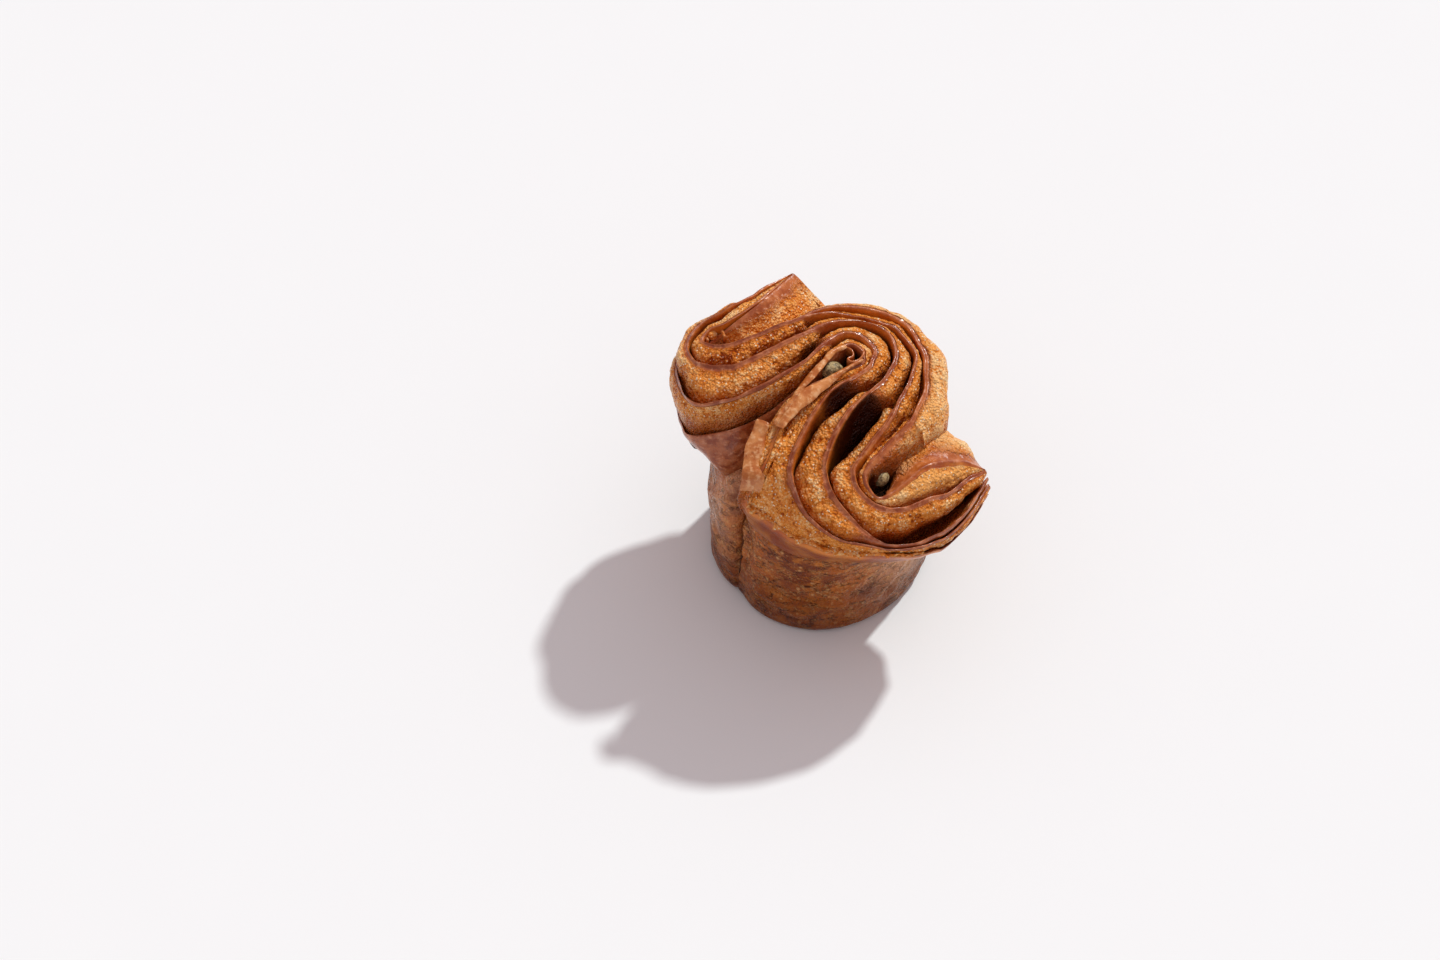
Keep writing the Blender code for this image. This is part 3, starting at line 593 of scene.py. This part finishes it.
def crust_material():
    m = Nodes("laminated_crust")
    crumb, band, inner, deep, pale, relief = [m.mark(label) for label in MARKS]
    cell, grain, glint_specks = m.cells(.76), m.noise(.42, 3), m.cells(1.15)
    tone, patch, fibre, lumps = m.noise(8.0, 3), m.noise(3.0, 3), m.noise(1.5, 4), m.noise(1.35, 3, .6)
    # crumb: golden tops with painted glints as bright specks, deep orange brown between them and, as painted
    # shade, down in the crevices
    # the tone follows the blisters' height and the pale mark: partly the crumb's own mottle, partly painted
    # light on tops and painted shade in hollows
    height = m.math("MULTIPLY_ADD", cell, -.62, m.math("MULTIPLY_ADD", relief, .50, .18))
    height = m.math("MULTIPLY_ADD", grain, .40, height)
    height = m.math("MULTIPLY_ADD", lumps, .55, height)
    shade = m.math("MULTIPLY_ADD", pale, .40, m.math("MULTIPLY_ADD", tone, .5, height))
    shade = m.math("MULTIPLY_ADD", patch, .45, shade)
    low = m.mix(m.step(patch, .35, .65), (.30, .040, .001), (.46, .088, .004))
    mid = m.mix(m.step(patch, .36, .66), (.72, .196, .012), (.88, .315, .050))
    top = m.mix(m.step(tone, .40, .66), (.98, .44, .11), (1.0, .61, .26))
    crumb_color = m.mix(m.step(shade, .72, 1.12), low, mid)
    crumb_color = m.mix(m.step(shade, 1.12, 1.52), crumb_color, top)
    # painted glints: bright specks on the blisters
    crumb_color = m.mix(m.math("MULTIPLY", m.step(glint_specks, .27, .13), .9), crumb_color, (1.0, .86, .62))
    glow = m.math("MULTIPLY", m.step(band, .04, .5), .8)
    crumb_color = m.mix(glow, crumb_color, (.54, .125, .008))
    # painted shade: deep orange brown down in the crevices
    crumb_color = m.mix(m.step(deep, .05, .40, 0, .85), crumb_color, (.36, .062, .003))
    # smooth skin: mauve brown at the lips, orange brown on the inner faces, tan where a thin leaf lies loose
    mauve = m.mix(m.step(patch, .36, .64), (.29, .056, .012), (.50, .150, .048))
    # pale streaks along the fibre: partly the skin's own streaks, partly painted sheen
    mauve = m.mix(m.step(fibre, .54, .74, 0, .7), mauve, (.66, .31, .18))
    warm = m.mix(m.step(tone, .35, .65), (.40, .065, .003), (.72, .22, .018))
    tan = m.mix(m.step(patch, .38, .62), (.46, .120, .016), (.66, .255, .070))
    # pale streaks along the fibre: partly the leaf's own streaks, partly painted sheen
    tan = m.mix(m.step(fibre, .50, .66, 0, .7), tan, (.82, .46, .22))
    skin = m.mix(inner, mauve, warm)
    loose = m.math("SUBTRACT", 1.0, m.math("ADD", m.math("ADD", band, inner), crumb), clamp=True)
    skin = m.mix(m.step(loose, .35, .75), skin, tan)
    edge = m.math("ADD", crumb, m.math("MULTIPLY_ADD", patch, .8, -.40))
    rough_part = m.step(edge, .30, .60)
    color = m.mix(rough_part, skin, crumb_color)
    # painted shade: near black at the bottom of deep crevices and slits
    color = m.mix(m.step(deep, .30, .95, 0, .97), color, (.030, .003, .0003))
    rough = m.math("MULTIPLY_ADD", rough_part, -.04, .28)
    bumps = m.math("MULTIPLY", rough_part, height)
    bumps = m.math("ADD", bumps, m.math("MULTIPLY", fibre, .30))
    m.bump(bumps, 1.05)
    gloss = m.math("MULTIPLY", m.math("SUBTRACT", 1.0, rough_part), m.step(deep, .10, .50, 1, 0))
    m.put(m.math("MULTIPLY_ADD", gloss, .10, .20), m.bsdf.inputs["Specular IOR Level"])
    m.put(m.math("MULTIPLY", gloss, .45), m.bsdf.inputs["Coat Weight"])
    return m.finish(color, rough, Coat_Roughness=.16)


def body_material():
    m = Nodes("baked_side")
    big, mid, fine = m.noise(13.0, 4), m.noise(3.8, 4), m.noise(1.0, 3)
    blotch, pale = m.noise(2.1, 3, .5), m.mark("pale")
    streak, dab = m.noise(5.5, 5, stretch=(1.0, 1.0, 1.5)), m.noise(.9, 2, .4)
    veil = m.noise(9.0, 5, .6, stretch=(1.0, 1.0, 2.4))
    rise = m.tree.nodes.new("ShaderNodeSeparateXYZ")
    m.put(m.coord, rise.inputs[0])
    rise = rise.outputs[2]
    color = m.mix(m.step(big, .40, .60), (.190, .034, .002), (.44, .105, .007))
    color = m.mix(m.step(streak, .44, .66, 0, .85), color, (.56, .170, .018))
    color = m.mix(m.step(veil, .50, .62, 0, .45), color, (.27, .062, .012))
    pips = m.math("MULTIPLY", m.step(m.cells(2.7), .27, .19), m.step(streak, .38, .50))
    color = m.mix(m.math("MULTIPLY", pips, .65), color, (.74, .38, .15))
    # dark lines in the wrinkles' grooves: painted shade
    wrinkle_shade = m.step(m.math("ABSOLUTE", m.math("SUBTRACT", veil, .50)), .016, .003)
    wrinkle_shade = m.math("MULTIPLY", wrinkle_shade, m.step(mid, .42, .52))
    # pale lines along the wrinkles: a painted highlight
    shine = m.step(m.math("ABSOLUTE", m.math("SUBTRACT", veil, .545)), .018, .004)
    shine = m.math("MULTIPLY", shine, m.step(mid, .46, .56))
    color = m.mix(m.math("MULTIPLY", shine, .55), color, (.78, .42, .19))
    color = m.mix(m.math("MULTIPLY", wrinkle_shade, .65), color, (.10, .018, .0015))
    # pale mark: painted sunlight round the right side, and paler skin at the left lobe
    color = m.mix(m.math("MULTIPLY", pale, m.step(streak, .18, .46)), color, (.92, .52, .31))
    spots = m.math("MULTIPLY", m.step(blotch, .57, .63), m.step(big, .44, .58))
    spots = m.math("MAXIMUM", spots, m.math("MULTIPLY", m.step(dab, .60, .66), m.step(mid, .44, .54)))
    color = m.mix(m.math("MULTIPLY", spots, .55), color, (.72, .36, .13))
    color = m.mix(m.step(fine, .55, .74, 0, .35), color, (.12, .020, .002))
    # painted shade: darker towards the bottom, near the floor
    color = m.mix(m.step(rise, 0.003, .030, .60, 0), color, (.13, .026, .0015))
    # painted shade: near black down the slot of the sharp crease
    color = m.mix(m.step(m.mark("deep"), .15, .85, 0, .92), color, (.020, .003, .0006))
    bumps = m.math("ADD", m.math("MULTIPLY", mid, 1.1), m.math("MULTIPLY", fine, .35))
    bumps = m.math("MULTIPLY_ADD", blotch, .5, bumps)
    bumps = m.math("MULTIPLY_ADD", veil, .9, m.math("MULTIPLY_ADD", pips, .35, bumps))
    bumps = m.math("MULTIPLY_ADD", wrinkle_shade, -.6, m.math("MULTIPLY_ADD", shine, .3, bumps))
    bumps = m.math("MULTIPLY_ADD", dab, .5, bumps)
    m.bump(bumps, .95)
    rough = m.math("MULTIPLY_ADD", fine, .26, .12)
    return m.finish(color, rough, Specular_IOR_Level=.17)


def filling_material():
    m = Nodes("filling_crumb")
    grain, fine = m.noise(1.1, 3), m.noise(.4, 2)
    color = m.mix(m.step(grain, .40, .60), (.12, .085, .035), (.46, .34, .15))
    color = m.mix(m.step(fine, .58, .70), color, (.66, .55, .34))
    m.bump(m.math("ADD", grain, m.math("MULTIPLY", fine, .6)), .4)
    return m.finish(color, .55, Specular_IOR_Level=.5)


CRUST, SIDE, FILLING = crust_material(), body_material(), filling_material()

# ---------------------------------------------------------------- the ribbon of leaves
WALL_STEPS = [9, 8, 10, 11, 9, 3]           # steps across a section, from point to point
GAP_STEPS = [2, 6, 9, 8, 8, 8, 9, 6, 2]
COARSE, FINE, BLISTER_MEAN = 2.4, 1.15, .6  # sizes of the crumb's blisters, and their usual height


def from_ends(n):
    """How many rows each of n rows is from the nearer end."""
    return np.minimum(np.arange(n), np.arange(n)[::-1])


def lumps_of(points, crumbed):
    """How far the crumb's blisters and the skin's waves push each point out, and the relief from 0 to 1."""
    coarse, fine = blisters(points, COARSE, 5) - BLISTER_MEAN, blisters(points, FINE, 9) - BLISTER_MEAN
    swell = .30 * waves(points, 3.1, 4)
    lump = .50 * waves(points, 6.5, 3) + swell + .36 * coarse + .30 * fine
    relief = np.clip(.5 + .9 * (.45 * coarse + .75 * fine + swell), 0, 1)
    skin_lump = .22 * waves(points, 8.0, 14) + .10 * waves(points, 2.6, 15)
    return crumbed * lump + (1 - crumbed) * skin_lump, relief


columns, labels, station_rows = ribbon_columns()
counts = WALL_STEPS + (LEAVES - 1) * GAP_STEPS + WALL_STEPS[::-1]
counts = counts
sheet, labels = refine(columns, labels, counts)
nrm = grid_normals(sheet)
turn = 1.0 if nrm[:, sum(counts[:WALL_POINTS]), 2].mean() > 0 else -1.0
nrm *= turn
push, relief = lumps_of(sheet.reshape(-1, 3), labels[:, :, 0].ravel())
calm = np.clip(from_ends(sheet.shape[0])[:, None] * STEP / 4.0, .15, 1)
sheet = sheet + nrm * (push.reshape(sheet.shape[:2]) * calm)[:, :, None]
labels = np.concatenate([labels, relief.reshape(*labels.shape[:2], 1)], axis=2)
pieces = [grid_object("leaves", sheet, labels, CRUST, ngon_ends=True, flip=turn < 0)]

# ---------------------------------------------------------------- the torn fringe and the leaves on the crown
# what a whole piece is made of: crumb, band, inner, deep (painted shade), pale, and the relief that it has
# besides
TAN, CRUMB, EVEN_RELIEF = (0, .05, .12, 0, .4), (1, 0, 0, 0, .4), .5
COLUMN = np.concatenate([[0], np.cumsum(counts)])   # where each point of a section is in the refined sheet
FRINGE_STATIONS = (20.3, 27.2)
FRINGE_ROOT = [(20.3, 39), (21, 40), (24, 41.3), (27.2, 41.6)]      # station, point of the section
FRINGE_EDGE = [(20.3, 43.0), (21, 42.8), (24, 42.4), (27.2, 42.2)]
FRINGE_ROWS, FRINGE_THICK, FRINGE_TORN, FRINGE_SEED = 26, .8, .8, 83


def uniform_marks(section, look):
    return np.ones(section.shape[:2] + (1,)) * np.array(look + (EVEN_RELIEF,))


def closed_section(top, low):
    """One closed ring of points from a leaf's upper and lower face."""
    return np.concatenate([top, low[:, ::-1], top[:, :1]], axis=1)


def torn_fringe():
    """The ragged edge of crumb along the front leaf: u runs along it, v from its root to its torn edge."""
    numbers = np.arange(len(station_rows))
    first, last = np.interp(FRINGE_STATIONS, numbers, station_rows)
    count = int(1.6 * (last - first)) + 8
    u, v = np.linspace(0, 1, count), np.linspace(0, 1, FRINGE_ROWS)
    teeth = [waves(np.column_stack([u * count * pace, u * 0, u * 0 + FRINGE_SEED]), 1.0, FRINGE_SEED + k)
             for k, pace in enumerate((.16, .5))]
    ragged = 1 - FRINGE_TORN * (.5 + .5 * teeth[0] + .35 * teeth[1])
    row = first + (last - first) * u
    station = np.interp(row, station_rows, numbers)
    root, edge = (np.interp(station, *zip(*line)) for line in (FRINGE_ROOT, FRINGE_EDGE))
    column = root[:, None] + (edge - root)[:, None] * v[None, :] * ragged[:, None]
    column = np.interp(column, np.arange(len(COLUMN)), COLUMN)
    row = np.repeat(row[:, None], FRINGE_ROWS, axis=1)
    j, k = np.minimum(row.astype(int), sheet.shape[0] - 2), np.minimum(column.astype(int), sheet.shape[1] - 2)
    right, up = (row - j)[:, :, None], (column - k)[:, :, None]

    def read(field):
        """Field values between the sheet's samples."""
        return ((field[j, k] * (1 - up) + field[j, k + 1] * up) * (1 - right)
                + (field[j + 1, k] * (1 - up) + field[j + 1, k + 1] * up) * right)

    base, out = read(sheet), read(nrm)
    out /= np.maximum(np.linalg.norm(out, axis=2), 1e-6)[:, :, None]
    uu, vv = np.meshgrid(u, v, indexing="ij")
    flat = base.reshape(-1, 3)
    rough = .35 * (blisters(flat, FINE, FRINGE_SEED + 5) - BLISTER_MEAN)
    rough = (rough + .25 * waves(flat, 3.0, FRINGE_SEED + 6)).reshape(*uu.shape, 1)
    high = (.2 + .4 * vv ** 1.5)[:, :, None]
    half = .5 * FRINGE_THICK * (1 - .75 * np.maximum(vv, 1 - 6 * uu.clip(0, 1 / 6)) ** 4)[:, :, None]
    droop = np.stack([-.4 * vv ** 2, -.6 * vv ** 2 * (.3 + .7 * np.sin(23 * uu) ** 2), -.1 * vv ** 2], axis=2)
    section = closed_section(base + out * (high + half + rough) + droop,
                             base + out * (high - half + .4 * rough) + droop)
    marks = uniform_marks(section, CRUMB)
    grain = waves(section.reshape(-1, 3), 1.2, FRINGE_SEED + 9).reshape(section.shape[:2])
    marks[:, :, MARKS.index("relief")] = np.clip(.5 + .5 * grain, 0, 1)
    middle = (count // 2, FRINGE_ROWS // 2)
    facing = grid_normals(section)[middle] @ out[middle]
    return grid_object("torn_fringe", section, marks, CRUST, ngon_ends=True, flip=facing < 0)


ACROSS = 17                                 # points across a strip


def strip(name, path, look, thick, seed, ragged=.12):
    """A thin leaf lying along a path; each point of the path is x, y, z, width and tilt."""
    run = course(path, [16] * (len(path) - 1))
    n, across = len(run), np.linspace(-1, 1, ACROSS)
    ahead = np.gradient(run[:, :2], axis=0)
    ahead /= np.linalg.norm(ahead, axis=1)[:, None]
    side_way = np.column_stack([-ahead[:, 1], ahead[:, 0]])
    tilt = np.radians(run[:, 4])
    wide = run[:, 3] * (.5 + ragged * waves(run[:, :3], 2.2, seed))
    over = np.column_stack([side_way * np.cos(tilt)[:, None], -np.sin(tilt)])
    out = np.column_stack([side_way * np.sin(tilt)[:, None], np.cos(tilt)])
    middle = run[:, None, :3] + over[:, None] * (wide[:, None] * across)[:, :, None]
    bow = .30 * (1 - across ** 2) + .22 * waves(middle.reshape(-1, 3), 2.6, seed + 1).reshape(n, ACROSS)
    ends = np.clip(from_ends(n) / 5.0, .15, 1)[:, None]
    half = .5 * thick * np.sqrt(np.clip(1.03 - across ** 2, 0, 1)) * ends
    section = closed_section(middle + out[:, None] * (bow + half)[:, :, None],
                             middle + out[:, None] * (bow - half)[:, :, None])
    facing = grid_normals(section)[n // 2, ACROSS // 2] @ out[n // 2]
    return grid_object(name, section, uniform_marks(section, look), CRUST, ngon_ends=True, flip=facing < 0)


FAR_LEAF = [(5.6, 7.5, 82.9, 1.2, 10), (2.0, 5.2, 83.3, 1.6, 10), (-.4, 2.2, 83.0, 2.0, -15),
            (-3.1, -1.0, 82.4, 2.4, -25), (-6.7, -5.3, 81.0, 2.2, -25), (-9.7, -9.4, 79.5, 2.0, -20),
            (-12.5, -12.4, 78.0, 2.0, -15), (-14.1, -15.1, 77.0, 1.8, -10)]
NEAR_LEAF = [(10.2, 3.5, 82.0, .9, 30), (6.6, .8, 82.4, 1.1, 30), (3.2, -1.9, 82.4, 1.6, 25),
             (-.7, -5.2, 82.2, 2.9, 20), (-4.2, -7.7, 81.8, 3.6, 20), (-7.5, -10.6, 80.8, 3.4, 15),
             (-10.6, -13.9, 79.4, 2.9, 10), (-13.0, -16.6, 78.0, 3.2, -25)]
SIDE_STRIP = [(-17.3, -13.7, 76.9, 3.8, 0), (-18.7, -17.0, 74.4, 4.6, 0), (-19.5, -20.1, 72.6, 5.2, 0),
              (-19.8, -23.8, 70.6, 5.5, 0), (-20.1, -26.7, 68.8, 5.8, 0), (-20.3, -28.5, 64.5, 6.4, 0)]
SIDE_LOOK = (0, .02, .28, 0, .4)
pieces.append(torn_fringe())
pieces.append(strip("far_leaf", FAR_LEAF, TAN, thick=.7, seed=91))
pieces.append(strip("near_leaf", NEAR_LEAF, TAN, thick=.7, seed=97))
pieces.append(strip("side_strip", SIDE_STRIP, SIDE_LOOK, thick=.8, seed=71, ragged=.06))


def upright(name, path, tall, look, thick, seed=5):
    """A thin leaf standing on edge; each point of its path is x, y, z of its upper edge."""
    run = course(path, [10] * (len(path) - 1))
    side_way = np.gradient(run[:, :2], axis=0)
    side_way = np.column_stack([-side_way[:, 1], side_way[:, 0]]) / np.linalg.norm(side_way, axis=1)[:, None]
    n, rows = len(run), []
    fall = np.array([tall, .6 * tall, .3 * tall, .12 * tall, .35, .1, 0.0])
    half = thick * np.array([.5, .5, .5, .5, .45, .3, 0.0])
    for f, h in list(zip(fall, half)) + list(zip(fall[::-1], -half[::-1]))[1:]:
        xy = run[:, :2] + side_way * h
        rows.append(np.column_stack([xy, run[:, 2] - f + .35 * waves(run, 2.5, seed)]))
    rows.append(rows[0])
    section = np.stack(rows, axis=1)
    marks = uniform_marks(section, look)
    # deep mark: painted shade, darker lower down the standing leaf
    marks[:, :, MARKS.index("deep")] = np.interp(run[:, 2][:, None] - section[:, :, 2], [.8, 4], [0, .9])
    return grid_object(name, section, marks, CRUST, ngon_ends=True)


INNER_TOP = 82.2
INNER_CURL = [(3.4, 7.3), (5.3, 7.7), (7.2, 6.7), (7.5, 5.0), (6.1, 3.8), (7.1, 2.7), (9.4, 3.9), (10.5, 6.0),
              (10.0, 7.6)]
LEFT_CURL = [(-32.5, 15.6, 75.4), (-33.2, 18.7, 74.6), (-32.0, 21.0, 74.8),
             (-30.0, 20.6, 75.8), (-28.6, 18.2, 76.8), (-27.8, 15.0, 77.6)]
inner_path = [(x, y, INNER_TOP) for x, y in INNER_CURL]
pieces.append(upright("inner_curl", inner_path, 6.0, (0, .5, .4, 0, .3), thick=.7))
pieces.append(upright("left_curl", LEFT_CURL, 3.5, (0, 0, .35, 0, .6), thick=.8, seed=8))

# ---------------------------------------------------------------- the round body
# folds of the skin: (bearing, height) points, then how high and how wide
RIDGES = [((197, 55), (207, 52.5), (217, 51.5), 1.1, 1.3), ((190, 33), (209, 40.5), (217.5, 41.5), 1.0, 1.2),
          ((219.5, 48), (222.5, 35), (223, 22), 1.0, 1.5), ((231, 53), (227, 42), (223.5, 30), .8, 1.8),
          ((196, 20), (206, 14), (214, 16), .7, 1.6), ((236, 14), (258, 10), (280, 15), .6, 1.8),
          ((255, 22), (275, 19), (300, 26), .5, 2.0), ((300, 12), (318, 20), (335, 18), .6, 1.6)]


def folds(bearing, z):
    """How high the folds stand at a bearing and a height on the body."""
    out = 0.0
    per_degree = BODY_RADIUS * pi / 180.0
    x = bearing * per_degree
    for *points, high, wide in RIDGES:
        d = np.full(x.shape, 99.0)
        for (b0, z0), (b1, z1) in zip(points, points[1:]):
            ax, ex, ez = b0 * per_degree, (b1 - b0) * per_degree, z1 - z0
            t = np.clip(((x - ax) * ex + (z - z0) * ez) / (ex ** 2 + ez ** 2), 0, 1)
            d = np.minimum(d, np.hypot(x - ax - t * ex, z - z0 - t * ez))
        out = out + high * (np.exp(-(d / wide) ** 2) - .45 * np.exp(-((d - 2.2 * wide) / wide) ** 2))
    return out


# the body's outline from the middle of its underside to the middle of its top: height, inset from its radius
RINGS = [(0.0, 30.0), (0.0, 12.0), (0.0, 5.0), (0.0, 2.6), (.25, 1.8), (.8, 1.0), (1.6, .45), (2.6, .15),
         (4.0, 0), (6.0, 0.0), (14.0, 0.0), (22.0, 0.0), (30.0, .2), (36.0, .8), (41.0, 2.2), (45.5, 4.5),
         (49.5, 9.0), (52.0, 17.0), (52.5, 24.0), (52.6, 31.9)]
RING_STEPS = [2, 2, 2, 1, 2, 2, 2, 3, 5, 22, 22, 22, 15, 12, 10, 8, 6, 2, 1]
SIDES = 560
SIDE_RING = 60                              # a ring of the refined grid that is on the body's side


def body_piece():
    """The round body with its creases, folds and wrinkles, with painted sunlight at the right, paler at the
    left, and painted shade in the slot.
    """
    at = np.arange(SIDES) * 360.0 / SIDES
    east, north, rings = np.cos(np.radians(at)), np.sin(np.radians(at)), []
    for z, inset in RINGS:
        r = body_radius(at, z) - inset
        rings.append(np.column_stack([r * east, r * north, np.full(SIDES, z)]))
    grid, _ = refine(np.stack(rings, axis=1), np.zeros((SIDES, len(RINGS), 1)), RING_STEPS)
    normals = grid_normals(grid, wrap_rows=True)
    turn = 1.0 if (normals[:, SIDE_RING, :2] * grid[:, SIDE_RING, :2]).sum() > 0 else -1.0
    p = grid.reshape(-1, 3)
    wrinkle = (.55 * waves(p, 13.0, 21) + .35 * waves(p * np.array([1, 1, 2.2]), 6.5, 22)
               + .16 * waves(p, 2.4, 23) + .22 * np.abs(waves(p * np.array([1, 1, 1.8]), 5.0, 24)))
    bearing, z = np.degrees(np.arctan2(grid[:, :, 1], grid[:, :, 0])) % 360.0, grid[:, :, 2]
    wrinkle = (wrinkle.reshape(grid.shape[:2]) + folds(bearing, z)) * smooth(z / 3.0)
    # pale: painted sunlight round the right side, paler skin at the left lobe
    pale = np.exp(-((bearing - 326.0) / 24.0) ** 2) + .35 * np.exp(-((bearing - 202.0) / 14.0) ** 2)
    grid = grid + turn * normals * wrinkle[:, :, None]
    marks = np.zeros(grid.shape[:2] + (len(MARKS),))
    marks[:, :, MARKS.index("pale")] = pale * smooth((z - 3.0) / 14.0)
    z = grid[:, :, 2]
    # deep mark: painted shade down the slot of the sharp crease
    slot = 218.3 + .5 * np.sin(z / 7.0)
    marks[:, :, MARKS.index("deep")] = np.exp(-((bearing - slot) / .75) ** 2) * smooth((z - 5.0) / 6.0)
    return grid_object("body", grid, marks, SIDE, close_rows=True, flip=turn < 0)


pieces.append(body_piece())

# ---------------------------------------------------------------- crumbs in the pockets
def crumb_ball(name, centre, radius, material):
    """A slightly flattened, lumpy ball."""
    u, v = np.meshgrid(np.linspace(0, 2 * pi, 49)[:-1], np.linspace(0, pi, 25), indexing="ij")
    ball = np.stack([np.cos(u) * np.sin(v), np.sin(u) * np.sin(v) * .85, np.cos(v) * .9], axis=-1) * radius
    points = ball.reshape(-1, 3)
    there = points + np.array(centre)
    swell = 1 + .10 * waves(there, 2.2, 41) + .10 * (blisters(there, 1.3, 42) - .5)
    ball = (points * swell[:, None] + np.array(centre)).reshape(ball.shape)
    return grid_object(name, ball, uniform_marks(ball, CRUMB), material, close_rows=True, flip=True)


for index, (centre, radius) in enumerate(BITS):
    pieces.append(crumb_ball("filling_%d" % index, centre, radius, FILLING))
pieces.append(crumb_ball("left_bud", (-31.4, 17.9, 74.4), 1.7, CRUST))

for piece in pieces:
    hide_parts("brioche")

# ---------------------------------------------------------------- floor and light
FLOOR_HALF = 3                              # metres
FLOOR_COLORS = (.845, .876, .880), (.855, .886, .890)
SUN_COLOR, SUN_STRENGTH, SUN_SIZE = (.965, 1.0, .985), 2.34, 3.0
SUN_WAY = (-.565, -.71, -1.0)
SKY_COLOR, SKY_STRENGTH = (1.09, .935, .965, 1), (.26, .66)         # strength at the horizon, overhead
floor_mesh = bpy.data.meshes.new("floor")
corners = [(x * FLOOR_HALF, y * FLOOR_HALF, 0) for x, y in ((-1, -1), (1, -1), (1, 1), (-1, 1))]
floor_mesh.from_pydata(corners, [], [(0, 1, 2, 3)])
floor = bpy.data.objects.new("floor", floor_mesh)
bpy.context.scene.collection.objects.link(floor)
surface = Nodes("pale_surface")
speck = surface.noise(40.0, 2)
floor_mesh.materials.append(surface.finish(surface.mix(speck, *FLOOR_COLORS), .85))

sun_data = bpy.data.lights.new("key", "SUN")
sun = bpy.data.objects.new("key", sun_data)
bpy.context.scene.collection.objects.link(sun)
sun_data.energy, sun_data.angle, sun_data.color = SUN_STRENGTH, radians(SUN_SIZE), SUN_COLOR
sun.rotation_euler = Vector(SUN_WAY).to_track_quat("-Z", "Y").to_euler()

world = bpy.data.worlds.new("studio")
bpy.context.scene.world = world
world.use_nodes = True
sky, links = world.node_tree.nodes, world.node_tree.links
direction = sky.new("ShaderNodeTexCoord").outputs["Generated"]
split = sky.new("ShaderNodeSeparateXYZ")
links.new(direction, split.inputs[0])
ramp = sky.new("ShaderNodeMapRange")
for key, value in zip(("From Min", "From Max", "To Min", "To Max"), (0.0, 1.0) + SKY_STRENGTH):
    ramp.inputs[key].default_value = value
links.new(split.outputs[2], ramp.inputs["Value"])
links.new(ramp.outputs["Result"], sky["Background"].inputs["Strength"])
sky["Background"].inputs["Color"].default_value = SKY_COLOR
bpy.context.scene.view_settings.view_transform = "Standard"
